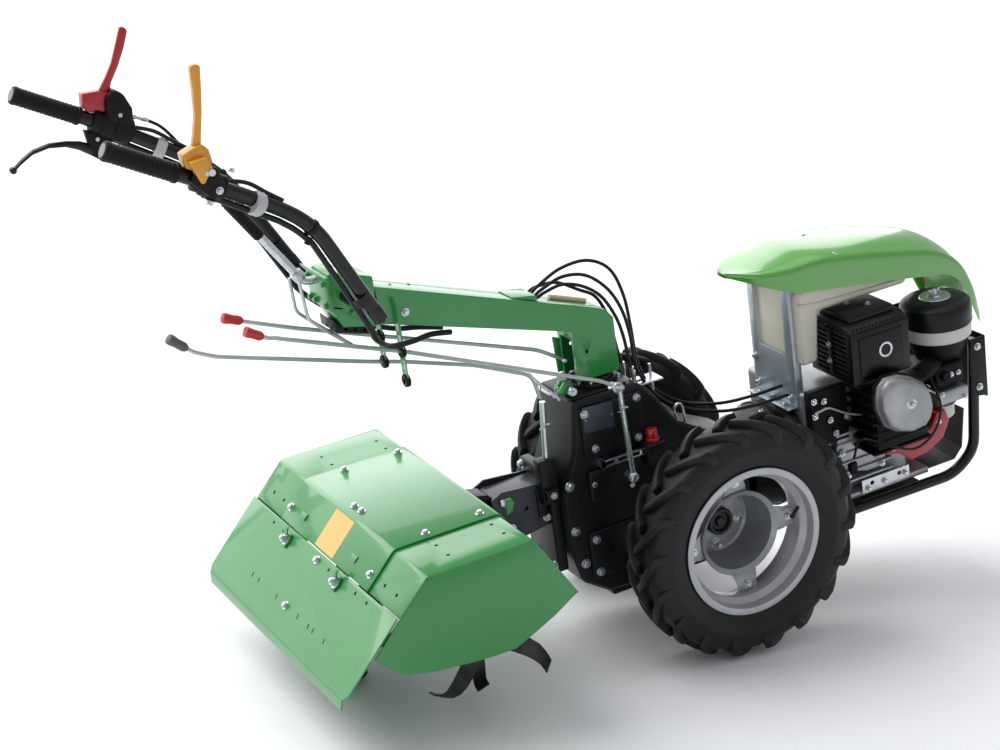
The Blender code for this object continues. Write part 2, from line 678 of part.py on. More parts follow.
def beside_bar(sign, gap):
    """Points that follow a handlebar's underside, from the grip end down."""
    bar = RIGHT_BAR if sign < 0 else mirrored(RIGHT_BAR)
    route = rounded(bar, 0.12, 4)[::-1]
    points = []
    for before, here, after in zip(route, route[1:], route[2:]):
        under = (after - before).normalized().cross(Vector((0, 1, 0)))
        if under.z > 0:
            under.negate()
        points.append(here + under * gap)
    return points


CABLE_R = 0.0035
LOOM_R = 0.0060
LOOPS = {  # from the arm's top, over, down in front of the post and on to the engine
    "clutch_cable": [
        (-0.292, 0.012, 0.566), (-0.270, 0.012, 0.580), (-0.215, 0.011, 0.603),
        (-0.150, 0.010, 0.604), (-0.098, 0.010, 0.570), (-0.072, 0.010, 0.505),
        (-0.064, 0.008, 0.430), (-0.062, 0.004, 0.360), (-0.052, 0.000, 0.310),
        (-0.020, -0.004, 0.262), (0.040, -0.012, 0.220), (0.120, -0.020, 0.196),
        (0.200, -0.026, 0.190), (0.283, -0.030, 0.192)],
    "throttle_cable": [
        (-0.292, -0.004, 0.566), (-0.270, -0.004, 0.576), (-0.220, -0.005, 0.590),
        (-0.165, -0.006, 0.578), (-0.118, -0.007, 0.535), (-0.090, -0.008, 0.480),
        (-0.078, -0.010, 0.420), (-0.076, -0.014, 0.360), (-0.068, -0.018, 0.320),
        (-0.030, -0.022, 0.258), (0.036, -0.030, 0.212), (0.118, -0.040, 0.184),
        (0.200, -0.048, 0.176), (0.283, -0.052, 0.176)],
    "stop_wire": [
        (-0.292, -0.018, 0.566), (-0.270, -0.018, 0.573), (-0.228, -0.018, 0.578),
        (-0.180, -0.019, 0.560), (-0.140, -0.020, 0.525), (-0.112, -0.021, 0.470),
        (-0.100, -0.022, 0.420), (-0.096, -0.024, 0.375), (-0.092, -0.026, 0.3380)],
    "brake_cable": [
        (-0.292, 0.026, 0.566), (-0.270, 0.026, 0.573), (-0.222, 0.025, 0.570),
        (-0.172, 0.024, 0.540), (-0.135, 0.022, 0.5150), (-0.1130, 0.020, 0.470),
        (-0.1040, 0.018, 0.420), (-0.0980, 0.016, 0.375), (-0.0920, 0.014, 0.3380)],
}


def cables():
    for name, points in LOOPS.items():
        cable(name, flowing(points), CABLE_R)
    for side, sign in (("right", -1), ("left", 1)):
        along = beside_bar(sign, BAR_R + LOOM_R + 0.0020)
        tail = [(-0.749, sign * 0.206, 0.684), (-0.738, sign * 0.192, 0.658),
                (-0.712, sign * 0.160, 0.628), (-0.668, sign * 0.105, 0.592),
                (-0.600, sign * 0.052, 0.568),
                (-0.550, sign * 0.030, 0.562), (-0.500, sign * 0.020, 0.5500)]
        cable(f"{side}_loom", flowing([*along[1:-1], *tail], 2), LOOM_R)


for each_side, each_sign in (("right", -1), ("left", 1)):
    wheel(each_side, each_sign)
    rotor_half(each_side, each_sign)
transmission()
engine()
hood()
front_guard()
tiller()
rear_flap()
column()
control_rods()
handlebar()
cables()
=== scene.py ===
"""Walking tractor with a rotary tiller: its looks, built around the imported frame.

Metres, in the frame's axes: +X to the engine, +Y to the operator's left, +Z up.
Everything but the wheels is drawn level, with the axle at the origin, and then pitched nose up.
"""

from math import cos, pi, radians, sin

import bpy
from mathutils import Matrix, Vector


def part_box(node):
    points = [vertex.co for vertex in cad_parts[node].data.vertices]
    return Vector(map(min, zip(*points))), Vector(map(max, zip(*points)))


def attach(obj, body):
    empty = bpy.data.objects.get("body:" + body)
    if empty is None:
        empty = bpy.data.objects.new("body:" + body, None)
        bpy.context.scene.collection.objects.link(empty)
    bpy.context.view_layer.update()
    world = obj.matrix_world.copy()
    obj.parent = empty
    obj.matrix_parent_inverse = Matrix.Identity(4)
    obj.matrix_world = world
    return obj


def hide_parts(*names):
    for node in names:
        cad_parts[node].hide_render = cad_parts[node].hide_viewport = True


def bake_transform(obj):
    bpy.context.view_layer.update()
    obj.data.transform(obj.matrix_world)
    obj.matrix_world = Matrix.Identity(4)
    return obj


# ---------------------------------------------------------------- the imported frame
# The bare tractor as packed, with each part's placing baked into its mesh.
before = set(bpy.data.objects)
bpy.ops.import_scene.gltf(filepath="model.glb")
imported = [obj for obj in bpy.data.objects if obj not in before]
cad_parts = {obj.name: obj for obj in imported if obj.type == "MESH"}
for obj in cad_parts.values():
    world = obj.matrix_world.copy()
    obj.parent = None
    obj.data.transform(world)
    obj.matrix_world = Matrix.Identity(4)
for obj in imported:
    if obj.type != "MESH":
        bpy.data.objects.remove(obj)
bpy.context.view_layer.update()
bpy.ops.object.select_all(action="DESELECT")

# ---------------------------------------------------------------- camera
# A long lens, from behind and to the right of the operator's place, looking down a little.
bpy.ops.object.camera_add(location=(-2.2276, -4.0672, 2.0964),
    rotation=(pi / 2 - 0.3117, 0, -0.4761))
camera = bpy.context.object
camera.data.sensor_width = 36
camera.data.lens = 81.56
bpy.context.scene.camera = camera

# ---------------------------------------------------------------- studio
# A white room lit by a very broad soft source, high up behind the operator's place. A box on
# that side is mirrored by the rear sheets, and one far behind by the flat tops.
bpy.context.scene.view_settings.view_transform = "Standard"
room = bpy.data.worlds.new("white_room")
room.use_nodes = True
room.node_tree.nodes["Background"].inputs["Color"].default_value = (0.95, 0.97, 1.0, 1)
room.node_tree.nodes["Background"].inputs["Strength"].default_value = 0.5
bpy.context.scene.world = room
bpy.ops.object.light_add(type="SUN",
    rotation=Vector((-0.55, 0.62, 1.0)).to_track_quat("Z", "Y").to_euler())
bpy.context.object.name = "broad_source"
bpy.context.object.data.energy = 2.1
bpy.context.object.data.angle = radians(50)
for name, place, aim, width, height, power in (("overhead_box", (0.2, 0.6, 3.9), (0.1, 0.0, 0.4),
        4.0, 3.0, 20), ("far_box", (2.6, 10.6, 5.2), (0.0, 0.0, 0.5), 14.0, 8.4, 700), ("rear_box",
        (-3.6, 4.4, 2.1), (-0.4, 0.0, 0.4), 3.6, 3.0, 45)):
    turn = (Vector(place) - Vector(aim)).to_track_quat("Z", "Y").to_euler()
    bpy.ops.object.light_add(type="AREA", location=place, rotation=turn)
    lamp = bpy.context.object
    lamp.name = name
    lamp.data.shape = "RECTANGLE"
    lamp.data.size, lamp.data.size_y = width, height
    lamp.data.energy = power


# ---------------------------------------------------------------- floor
# A plain pale studio floor of painted board, big enough to fill the view.
def shader_group(name, inputs, outputs):
    """An empty node group with the named sockets, and its two ends."""
    group = bpy.data.node_groups.new(name, "ShaderNodeTree")
    for label, kind, value in inputs:
        socket = group.interface.new_socket(label, in_out="INPUT", socket_type=kind)
        if value is not None:
            socket.default_value = value
    for label, kind in outputs:
        group.interface.new_socket(label, in_out="OUTPUT", socket_type=kind)
    return group, group.nodes.new("NodeGroupInput"), group.nodes.new("NodeGroupOutput")


def uneven_skin():
    """Two close tones, a roughness that wanders, and a fine grain to the touch."""
    group, given, made = shader_group("uneven_skin", [("Place", "NodeSocketVector", None), ("Tone",
        "NodeSocketColor", (0.5, 0.5, 0.5, 1)), ("Other Tone", "NodeSocketColor",
        (0.4, 0.4, 0.4, 1)), ("Patch Size", "NodeSocketFloat", 4.0),
        ("Roughness", "NodeSocketFloat", 0.4), ("Wander", "NodeSocketFloat", 0.1),
        ("Grain", "NodeSocketFloat", 200.0), ("Depth", "NodeSocketFloat", 0.05),],
        [("Colour", "NodeSocketColor"), ("Roughness", "NodeSocketFloat"),
        ("Normal", "NodeSocketVector")])
    nodes, links = group.nodes, group.links
    patches = nodes.new("ShaderNodeTexNoise")
    patches.inputs["Detail"].default_value = 5
    links.new(given.outputs["Place"], patches.inputs["Vector"])
    links.new(given.outputs["Patch Size"], patches.inputs["Scale"])
    spread = nodes.new("ShaderNodeMapRange")
    spread.inputs["From Min"].default_value = 0.32
    spread.inputs["From Max"].default_value = 0.68
    links.new(patches.outputs["Fac"], spread.inputs["Value"])
    tones = nodes.new("ShaderNodeMix")
    tones.data_type = "RGBA"
    links.new(spread.outputs["Result"], tones.inputs["Factor"])
    links.new(given.outputs["Tone"], tones.inputs["A"])
    links.new(given.outputs["Other Tone"], tones.inputs["B"])
    links.new(tones.outputs["Result"], made.inputs["Colour"])
    drift = nodes.new("ShaderNodeMath")
    drift.operation = "MULTIPLY_ADD"
    links.new(spread.outputs["Result"], drift.inputs[0])
    links.new(given.outputs["Wander"], drift.inputs[1])
    links.new(given.outputs["Roughness"], drift.inputs[2])
    links.new(drift.outputs["Value"], made.inputs["Roughness"])
    grain = nodes.new("ShaderNodeTexNoise")
    grain.inputs["Detail"].default_value = 3
    links.new(given.outputs["Place"], grain.inputs["Vector"])
    links.new(given.outputs["Grain"], grain.inputs["Scale"])
    bump = nodes.new("ShaderNodeBump")
    bump.inputs["Distance"].default_value = 0.001
    links.new(given.outputs["Depth"], bump.inputs["Strength"])
    links.new(grain.outputs["Fac"], bump.inputs["Height"])
    links.new(bump.outputs["Normal"], made.inputs["Normal"])
    return group


def settled_dust():
    """Pale dust that lies on what faces up, broken by noise."""
    group, given, made = shader_group("settled_dust", [("Place", "NodeSocketVector", None),
        ("Colour", "NodeSocketColor", (0.5, 0.5, 0.5, 1)), ("Dust", "NodeSocketColor",
        (0.3, 0.29, 0.27, 1)), ("Amount", "NodeSocketFloat", 0.1),],
        [("Colour", "NodeSocketColor")])
    nodes, links = group.nodes, group.links
    facing = nodes.new("ShaderNodeNewGeometry")
    parts = nodes.new("ShaderNodeSeparateXYZ")
    links.new(facing.outputs["Normal"], parts.inputs["Vector"])
    up = nodes.new("ShaderNodeMapRange")
    up.inputs["From Min"].default_value = -0.2
    up.inputs["To Min"].default_value = 0.15
    links.new(parts.outputs["Z"], up.inputs["Value"])
    specks = nodes.new("ShaderNodeTexNoise")
    specks.inputs["Scale"].default_value = 55
    specks.inputs["Detail"].default_value = 6
    links.new(given.outputs["Place"], specks.inputs["Vector"])
    lying = nodes.new("ShaderNodeMath")
    lying.operation = "MULTIPLY"
    links.new(up.outputs["Result"], lying.inputs[0])
    links.new(specks.outputs["Fac"], lying.inputs[1])
    share = nodes.new("ShaderNodeMath")
    share.operation = "MULTIPLY"
    share.use_clamp = True
    links.new(lying.outputs["Value"], share.inputs[0])
    links.new(given.outputs["Amount"], share.inputs[1])
    mix = nodes.new("ShaderNodeMix")
    mix.data_type = "RGBA"
    links.new(share.outputs["Value"], mix.inputs["Factor"])
    links.new(given.outputs["Colour"], mix.inputs["A"])
    links.new(given.outputs["Dust"], mix.inputs["B"])
    links.new(mix.outputs["Result"], made.inputs["Colour"])
    return group


SKIN, DUST = uneven_skin(), settled_dust()


def surface(name, tone, other, roughness, metallic=0.0, coat=0.0, grain=220.0, depth=0.05,
        patches=4.0, wander=0.08, dust=0.0, specular=0.5):
    """A material whose skin and dust come from the shared groups."""
    material = bpy.data.materials.new(name)
    material.use_nodes = True
    nodes, links = material.node_tree.nodes, material.node_tree.links
    shader = nodes["Principled BSDF"]
    shader.inputs["Metallic"].default_value = metallic
    shader.inputs["Coat Weight"].default_value = coat
    shader.inputs["Coat Roughness"].default_value = 0.08
    shader.inputs["Specular IOR Level"].default_value = specular
    place = nodes.new("ShaderNodeTexCoord")
    skin = nodes.new("ShaderNodeGroup")
    skin.node_tree = SKIN
    for label, value in (("Tone", (*tone, 1)), ("Other Tone", (*other, 1)),
            ("Patch Size", patches), ("Roughness", roughness), ("Wander", wander),
            ("Grain", grain), ("Depth", depth)):
        skin.inputs[label].default_value = value
    links.new(place.outputs["Object"], skin.inputs["Place"])
    links.new(skin.outputs["Roughness"], shader.inputs["Roughness"])
    links.new(skin.outputs["Normal"], shader.inputs["Normal"])
    if dust:
        film = nodes.new("ShaderNodeGroup")
        film.node_tree = DUST
        film.inputs["Amount"].default_value = dust
        links.new(place.outputs["Object"], film.inputs["Place"])
        links.new(skin.outputs["Colour"], film.inputs["Colour"])
        links.new(film.outputs["Colour"], shader.inputs["Base Color"])
    else:
        links.new(skin.outputs["Colour"], shader.inputs["Base Color"])
    return material


bpy.ops.mesh.primitive_plane_add(size=60, location=(0, 0, -0.0006))
floor = bpy.context.object
floor.name = "floor"
floor.data.materials.append(surface("pale_board", (0.9, 0.91, 0.92), (0.87, 0.88, 0.89), 0.6,
    grain=30, depth=0.02))

# ---------------------------------------------------------------- tyres
# Agricultural tyres of black rubber, moulded with two staggered rows of curved bars that run
# over the shoulders and a little way down the walls. They are mounted on the rims.
AXLE = (Vector(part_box("right_tyre")[0]) + Vector(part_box("right_tyre")[1])) / 2
HALF_TRACK = abs(AXLE.y)
AXLE.y = 0.0
TYRE_R = AXLE.z
PITCH = radians(8.5)
RIGHT, LEFT, REAR, UP, DOWNWARD = (0, -1, 0), (0, 1, 0), (-1, 0, 0), (0, 0, 1), (0, 0, -1)
MIRROR = Matrix.Scale(-1, 4, LEFT)
LEVEL = Matrix.Translation(AXLE) @ Matrix.Rotation(-PITCH, 4, "Y")
RUBBER = surface("tyre_rubber", (0.0045, 0.0045, 0.0048), (0.009, 0.009, 0.0095), 0.44, grain=420,
    depth=0.14, patches=9, dust=0.02, specular=0.32)


def only(obj):
    """Leaves one object selected and active."""
    bpy.ops.object.select_all(action="DESELECT")
    obj.select_set(True)
    bpy.context.view_layer.objects.active = obj
    return obj


def baked(obj):
    """Applies every modifier of the object."""
    only(obj)
    for modifier in list(obj.modifiers):
        bpy.ops.object.modifier_apply(modifier=modifier.name)
    return obj


def eased(obj, width, segments=2, angle=35):
    """Rounds the edges that are sharper than the angle."""
    bevel = obj.modifiers.new("ease", "BEVEL")
    bevel.width = width
    bevel.segments = segments
    bevel.limit_method = "ANGLE"
    bevel.angle_limit = radians(angle)
    bevel.use_clamp_overlap = True
    return baked(obj)


def ring_of(name, points, fill):
    """A loop of vertices laid on the points, from a circle of as many."""
    bpy.ops.object.select_all(action="DESELECT")
    bpy.ops.mesh.primitive_circle_add(vertices=len(points), radius=1, fill_type=fill)
    obj = bpy.context.object
    obj.name = obj.data.name = name
    for vertex, point in zip(obj.data.vertices, points):
        vertex.co = point
    return obj


def cleaned(obj, merge=0.00002):
    """Merges doubled points and turns the faces outwards."""
    only(obj)
    bpy.ops.object.mode_set(mode="EDIT")
    bpy.ops.mesh.select_all(action="SELECT")
    bpy.ops.mesh.remove_doubles(threshold=merge)
    bpy.ops.mesh.normals_make_consistent(inside=False)
    bpy.ops.object.mode_set(mode="OBJECT")
    return obj


def spun(name, profile, centre, axis="Y", steps=64):
    """A closed profile of (radius, distance along the axis) spun about the axis."""
    centre = Vector(centre)
    out, arm = {"X": (Vector((1, 0, 0)), Vector((0, 0, 1))), "Y":
        (Vector((0, 1, 0)), Vector((0, 0, 1))), "Z": (Vector((0, 0, 1)), Vector((1, 0, 0))),}[axis]
    obj = ring_of(name, [centre + arm * r + out * t for r, t in profile], "NOTHING")
    bpy.ops.object.mode_set(mode="EDIT")
    bpy.ops.mesh.select_all(action="SELECT")
    bpy.ops.mesh.spin(steps=steps, angle=2 * pi, center=centre, axis=out, use_auto_merge=True)
    bpy.ops.object.mode_set(mode="OBJECT")
    return cleaned(obj)


def lofted(name, rings):
    """Rings of equal count joined into one closed bar by extruding from each to the next."""
    obj = ring_of(name, rings[0], "NGON")
    count = len(rings[0])
    bpy.ops.object.mode_set(mode="EDIT")
    bpy.ops.mesh.select_all(action="SELECT")
    for before, ring in zip(rings, rings[1:]):
        bpy.ops.mesh.extrude_region_move()
        bpy.ops.object.mode_set(mode="OBJECT")
        top = [v for v in obj.data.vertices if v.select]
        for vertex in top:
            nearest = min(range(count), key=lambda i: (vertex.co - Vector(before[i])).length)
            vertex.co = ring[nearest]
        bpy.ops.object.mode_set(mode="EDIT")
    bpy.ops.object.mode_set(mode="OBJECT")
    return cleaned(obj)


def copied(obj, matrix):
    """A copy with its own mesh, moved by the matrix."""
    twin = obj.copy()
    twin.data = obj.data.copy()
    twin.data.transform(matrix)
    if matrix.determinant() < 0:
        twin.data.flip_normals()
    bpy.context.scene.collection.objects.link(twin)
    return twin


def joined(name, pieces):
    """The pieces as one object."""
    only(pieces[0])
    for piece in pieces[1:]:
        piece.select_set(True)
    bpy.ops.object.join()
    pieces[0].name = pieces[0].data.name = name
    return pieces[0]


def painted(obj, material):
    """Leaves the object with that material alone."""
    obj.data.materials.clear()
    obj.data.materials.append(material)
    return obj


def all_painted(pieces, material):
    """The pieces, each in that material alone."""
    return [painted(piece, material) for piece in pieces]


def fitted(obj, body, slot, *stands_for, level=True, smooth=35, bends=None):
    """Pitches a finished piece into place and hangs it on its body, or, where bends are given, bakes
    its placing in and leaves it on no body.
    """
    if level:
        obj.data.transform(LEVEL)
    only(obj)
    bpy.ops.object.shade_smooth_by_angle(angle=radians(smooth))
    if bends:
        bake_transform(obj)
    else:
        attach(obj, body)
    if stands_for:
        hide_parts(*stands_for)
    return obj


BARS_A_SIDE = 18
WALL = [(0.156, 0.044), (0.17, 0.045), (0.18, 0.052), (0.205, 0.057), (0.209, 0.0584),
    (0.213, 0.057), (0.233, 0.0555), (0.246, 0.0485), (0.251, 0.036), (0.2525, 0.018)]
carcass = spun("carcass", WALL + [(r, -y) for r, y in reversed(WALL)], (0, 0, 0), "Y", 96)


def bar_ring(t):
    """The bar's section at a share t of its way from the crown, over the shoulder, down the wall."""
    over = min(t / 0.72, 1.0)
    down = max(t - 0.72, 0.0) / 0.28
    y = -0.004 + 0.0605 * over + 0.0025 * down
    top = TYRE_R - 0.011 * over ** 3 - 0.033 * down
    root = 0.25 - 0.018 * over ** 3 - 0.026 * down
    lead = 0.05 + 0.3 * over ** 1.25 + 0.02 * down
    half_top, half_root = 0.034 + 0.008 * over, 0.056 + 0.004 * over
    inward = 0.01 * over ** 4 + 0.007 * down
    return [(radius * sin(lead + side), y - pull, radius * cos(lead + side)) for radius, side, pull
        in ((root, -half_root, inward), (top, -half_top, 0.0), (top, half_top, 0.0),
        (root, half_root, inward))]


bar = lofted("bar", [bar_ring(k / 9) for k in range(10)])
eased(bar, 0.0022, 2, 30)
rubber = [carcass]
for k in range(BARS_A_SIDE):
    turn = 2 * pi * k / BARS_A_SIDE
    rubber.append(copied(bar, Matrix.Rotation(turn, 4, "Y")))
    rubber.append(copied(bar, Matrix.Rotation(turn + pi / BARS_A_SIDE, 4, "Y") @ MIRROR))
bpy.data.objects.remove(bar)
tyre = painted(joined("right_tyre_tread", rubber), RUBBER)
left_tyre = copied(tyre, Matrix.Translation(AXLE + Vector((0, HALF_TRACK, 0))))
left_tyre.name = "left_tyre_tread"
tyre.data.transform(Matrix.Translation(AXLE - Vector((0, HALF_TRACK, 0))))
fitted(tyre, "right_wheel", "rubber_tyre", "right_tyre", level=False, smooth=40)
fitted(left_tyre, "left_wheel", "rubber_tyre", "left_tyre", level=False, smooth=40)

# ---------------------------------------------------------------- rims and wheel discs
# Rims rolled from steel strip, in light grey enamel, with four welded tabs. Each is bolted by
# its tabs to a pressed bell, and the bell to the hub with four studs.
RIM_GREY = surface("rim_enamel", (0.47, 0.48, 0.5), (0.42, 0.43, 0.45), 0.3, metallic=0.35,
    coat=0.25, grain=300, depth=0.05, patches=14)
DISC_GREY = surface("disc_enamel", (0.36, 0.38, 0.4), (0.3, 0.31, 0.33), 0.32, metallic=0.55,
    grain=260, depth=0.08, patches=18)
ZINC = surface("bright_zinc", (0.66, 0.68, 0.7), (0.56, 0.58, 0.62), 0.24, metallic=0.92,
    grain=500, depth=0.05, patches=40)
HUB_BLACK = surface("hub_black", (0.006, 0.006, 0.0065), (0.012, 0.012, 0.013), 0.28, grain=240,
    depth=0.1, specular=0.35)


def box_of(name, low, high):
    """A cuboid between two corners."""
    low, high = Vector(low), Vector(high)
    bpy.ops.object.select_all(action="DESELECT")
    bpy.ops.mesh.primitive_cube_add(size=1, location=(low + high) / 2)
    obj = bpy.context.object
    obj.name = obj.data.name = name
    obj.scale = high - low
    bpy.ops.object.transform_apply(location=True, rotation=True, scale=True)
    return obj


def drum(name, radius, length, place=(0, 0, 0), along=(0, 0, 1), steps=24, tip=None):
    """A round bar centred on a place, or a cone where the tip has its own radius."""
    bpy.ops.object.select_all(action="DESELECT")
    turn = Vector((0, 0, 1)).rotation_difference(Vector(along)).to_euler()
    bpy.ops.mesh.primitive_cone_add(vertices=steps, radius1=radius, radius2=radius if tip is None
        else tip, depth=length, location=place, rotation=turn)
    obj = bpy.context.object
    obj.name = obj.data.name = name
    bpy.ops.object.transform_apply(location=True, rotation=True, scale=True)
    return obj


def model_bolt():
    """A hexagon head with a chamfer, on a washer, standing on z = 0, one metre across its flats
    when scaled by one."""
    washer = drum("washer", 0.8, 0.14, (0, 0, 0.07), steps=28)
    head = eased(drum("head", 0.577, 0.52, (0, 0, 0.4), steps=6), 0.05, 2, 30)
    crown = drum("crown", 0.46, 0.1, (0, 0, 0.7), steps=24, tip=0.36)
    bolt = painted(joined("bolt", [washer, head, crown]), ZINC)
    bolt.hide_render = True
    return bolt


BOLT = model_bolt()


def bolt_at(place, facing, size=0.01):
    """A bolt head of that size across its flats, standing on a place and facing a way."""
    turn = Vector((0, 0, 1)).rotation_difference(Vector(facing)).to_matrix().to_4x4()
    head = copied(BOLT, Matrix.Translation(place) @ turn @ Matrix.Diagonal((size, size, size, 1)))
    head.hide_render = False
    return head


rim = spun("rim", [(0.1665, -0.0495), (0.1672, -0.0478), (0.1665, -0.046), (0.1552, -0.0452),
    (0.154, -0.025), (0.1412, -0.015), (0.1412, 0.012), (0.154, 0.022), (0.1552, 0.0452),
    (0.1665, 0.046), (0.1672, 0.0478), (0.1665, 0.0495), (0.152, 0.0496), (0.1502, 0.024),
    (0.1376, 0.014), (0.1376, -0.0165), (0.1502, -0.027), (0.152, -0.0496)], (0, 0, 0), "Y", 120)
eased(rim, 0.0016, 2, 25)
tabs, tab_bolts = [rim], []
for k in range(4):
    spoke = Matrix.Rotation(radians(-10 - 90 * k), 4, "Y")
    tab = box_of("tab", (0.112, 0.006, -0.024), (0.142, 0.009, 0.024))
    heel = box_of("heel", (0.1372, -0.006, -0.024), (0.1402, 0.009, 0.024))
    for piece in (tab, heel):
        eased(piece, 0.0008, 2)
        piece.data.transform(spoke)
        tabs.append(piece)
    tab_bolts.append(bolt_at(spoke @ Vector((0.122, 0.0036, 0)), (0, -1, 0), 0.012))
rim = painted(joined("right_rim_rolled", tabs), RIM_GREY)

bell = spun("bell", [(0.031, 0.1), (0.031, 0.104), (0.068, 0.1045), (0.076, 0.099), (0.0795, 0.08),
    (0.081, 0.05), (0.087, 0.018), (0.096, 0.01), (0.096, 0.0065), (0.085, 0.014), (0.0775, 0.048),
    (0.076, 0.079), (0.0725, 0.0955), (0.067, 0.1)], (0, 0, 0), "Y", 80)
wheel_disc = [bell]
studs = list(tab_bolts)
for k in range(4):
    spoke = Matrix.Rotation(radians(-10 - 90 * k), 4, "Y")
    foot = lofted("foot", [[(0.086, 0.015, z) for z in (-0.032, 0.032)] +
        [(0.086, 0.0185, z) for z in (0.032, -0.032)], [(0.11, 0.005, z) for z in (-0.026, 0.026)]
        + [(0.11, 0.009, z) for z in (0.026, -0.026)], [(0.134, 0.002, z) for z in (-0.016, 0.016)]
        + [(0.134, 0.0058, z) for z in (0.016, -0.016)],])
    foot.data.transform(spoke)
    wheel_disc.append(eased(foot, 0.001, 2))
    hub_turn = Matrix.Rotation(radians(5 + 90 * k), 4, "Y")
    studs.append(bolt_at(hub_turn @ Vector((0.053, 0.1, 0)), (0, -1, 0), 0.015))
    studs.append(drum("stud", 0.0045, 0.016, hub_turn @ Vector((0.053, 0.084, 0)), (0, -1, 0), 14))
bell = painted(joined("right_wheel_bell", wheel_disc), DISC_GREY)
hub = spun("hub", [(0.0, 0.09), (0.0, 0.084), (0.009, 0.084), (0.011, 0.086), (0.0125, 0.09),
    (0.019, 0.09), (0.023, 0.083), (0.029, 0.083), (0.0315, 0.086), (0.0315, 0.112), (0.0, 0.112)],
    (0, 0, 0), "Y", 40)
for stud in studs:
    if not stud.data.materials:
        painted(stud, ZINC)
stem = drum("stem", 0.0042, 0.034, (0.126, -0.018, 0.042), (-0.75, -0.35, -0.55), 14)
cap = drum("cap", 0.0056, 0.012, (0.113, -0.024, 0.0325), (-0.75, -0.35, -0.55), 14)
hub = joined("right_hub", [painted(hub, HUB_BLACK), painted(eased(stem, 0.0008), HUB_BLACK),
    painted(eased(cap, 0.0012), HUB_BLACK)])
studs = joined("right_wheel_studs", studs)
for piece, slot, stands_for in ((rim, "rim_grey", "rim"), (bell, "rim_grey", "wheel_disc"),
        (hub, "black", None), (studs, "silver", None)):
    for side, flip in (("left", MIRROR), ("right", Matrix.Identity(4))):
        hand = -1 if side == "right" else 1
        twin = copied(piece, Matrix.Translation(AXLE + Vector((0, hand * HALF_TRACK, 0))) @ flip)
        twin.name = piece.name.replace("right", side)
        hidden = [f"{side}_{stands_for}"] if stands_for else []
        fitted(twin, f"{side}_wheel", slot, *hidden, level=False)
    bpy.data.objects.remove(piece)

# ---------------------------------------------------------------- gearbox and bell housing
# Black-painted aluminium castings: the gearbox with its axle tubes, lids and ribs, and the bell
# housing flange that bolts it to the engine. Zinc-plated bolts hold the covers.
CAST_BLACK = surface("cast_black", (0.006, 0.0064, 0.007), (0.01, 0.011, 0.012), 0.32, grain=190,
    depth=0.26, patches=16, dust=0.01, specular=0.22)


def from_cad(name, node, ease=0.002, segments=2):
    """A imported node's shape as clean faces with rounded edges, still drawn level."""
    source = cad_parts[node]
    obj = bpy.data.objects.new(name, source.data.copy())
    bpy.context.scene.collection.objects.link(obj)
    obj.data.transform(LEVEL.inverted())
    obj.data.materials.clear()
    cleaned(obj)
    bpy.ops.object.mode_set(mode="EDIT")
    bpy.ops.mesh.select_all(action="SELECT")
    bpy.ops.mesh.dissolve_limited(angle_limit=radians(1.5))
    bpy.ops.object.mode_set(mode="OBJECT")
    return eased(obj, ease, segments, 28) if ease else obj


def drilled(obj, cutters):
    """Cuts every cutter out of the object."""
    cutter = joined("cutter", cutters)
    cut = obj.modifiers.new("drill", "BOOLEAN")
    cut.operation, cut.solver, cut.object = "DIFFERENCE", "EXACT", cutter
    baked(obj)
    bpy.data.objects.remove(cutter)
    return obj


def slab(name, outline, low, high, along="Y", ease=0.0):
    """An outline drawn on the other two axes, extruded from low to high and eased."""
    place = {"X": lambda a, b, t: (t, a, b), "Y": lambda a, b, t: (a, t, b), "Z": lambda a, b, t:
        (a, b, t)}[along]
    obj = lofted(name, [[place(a, b, t) for a, b in outline] for t in (low, high)])
    return eased(obj, ease, 2, 30) if ease else obj


case = from_cad("case", "gearbox", 0.004, 3)
castings = [case]
for name, low, high, ease in (("top_lid", (-0.268, -0.068, 0.3345), (-0.13, 0.068, 0.34), 0.003),
        ("side_lid", (-0.262, -0.088, 0.2), (-0.11, -0.078, 0.318), 0.004), ("selector_boss",
        (-0.262, -0.094, 0.1), (-0.15, -0.078, 0.172), 0.006), ("rear_collar",
        (-0.348, -0.064, -0.05), (-0.322, 0.064, 0.19), 0.006), ("bottom_lid",
        (-0.222, -0.062, -0.151), (0.03, 0.062, -0.132), 0.006), ("drive_head",
        (-0.372, -0.05, 0.085), (-0.345, 0.05, 0.155), 0.005), ("lower_side_lid",
        (-0.278, -0.09, -0.082), (-0.12, -0.078, 0.03), 0.008)):
    castings.append(eased(box_of(name, low, high), ease, 3))
for k in range(5):
    x = -0.075 + 0.047 * k
    castings.append(eased(slab("rib", [(x, -0.12), (x + 0.006, -0.12), (x + 0.006, 0.14),
        (x, 0.17 - 0.022 * k)], -0.087, -0.078), 0.0015))
for sign in (-1, 1):
    castings.append(spun("axle_flange", [(0.036, sign * 0.102), (0.057, sign * 0.102),
        (0.06, sign * 0.105), (0.06, sign * 0.116), (0.057, sign * 0.119), (0.036, sign * 0.119)],
        (0, 0, 0), "Y", 48))
bell_flange = spun("bell_flange", [(0.06, 0.156), (0.092, 0.156), (0.104, 0.175), (0.1195, 0.228),
    (0.124, 0.23), (0.124, 0.244), (0.12, 0.246), (0.12, 0.27), (0.124, 0.272), (0.124, 0.287),
    (0.12, 0.289), (0.06, 0.289)], (0, 0, 0.03), "X", 56)
castings.append(bell_flange)
all_painted(castings, CAST_BLACK)
cover_bolts = []
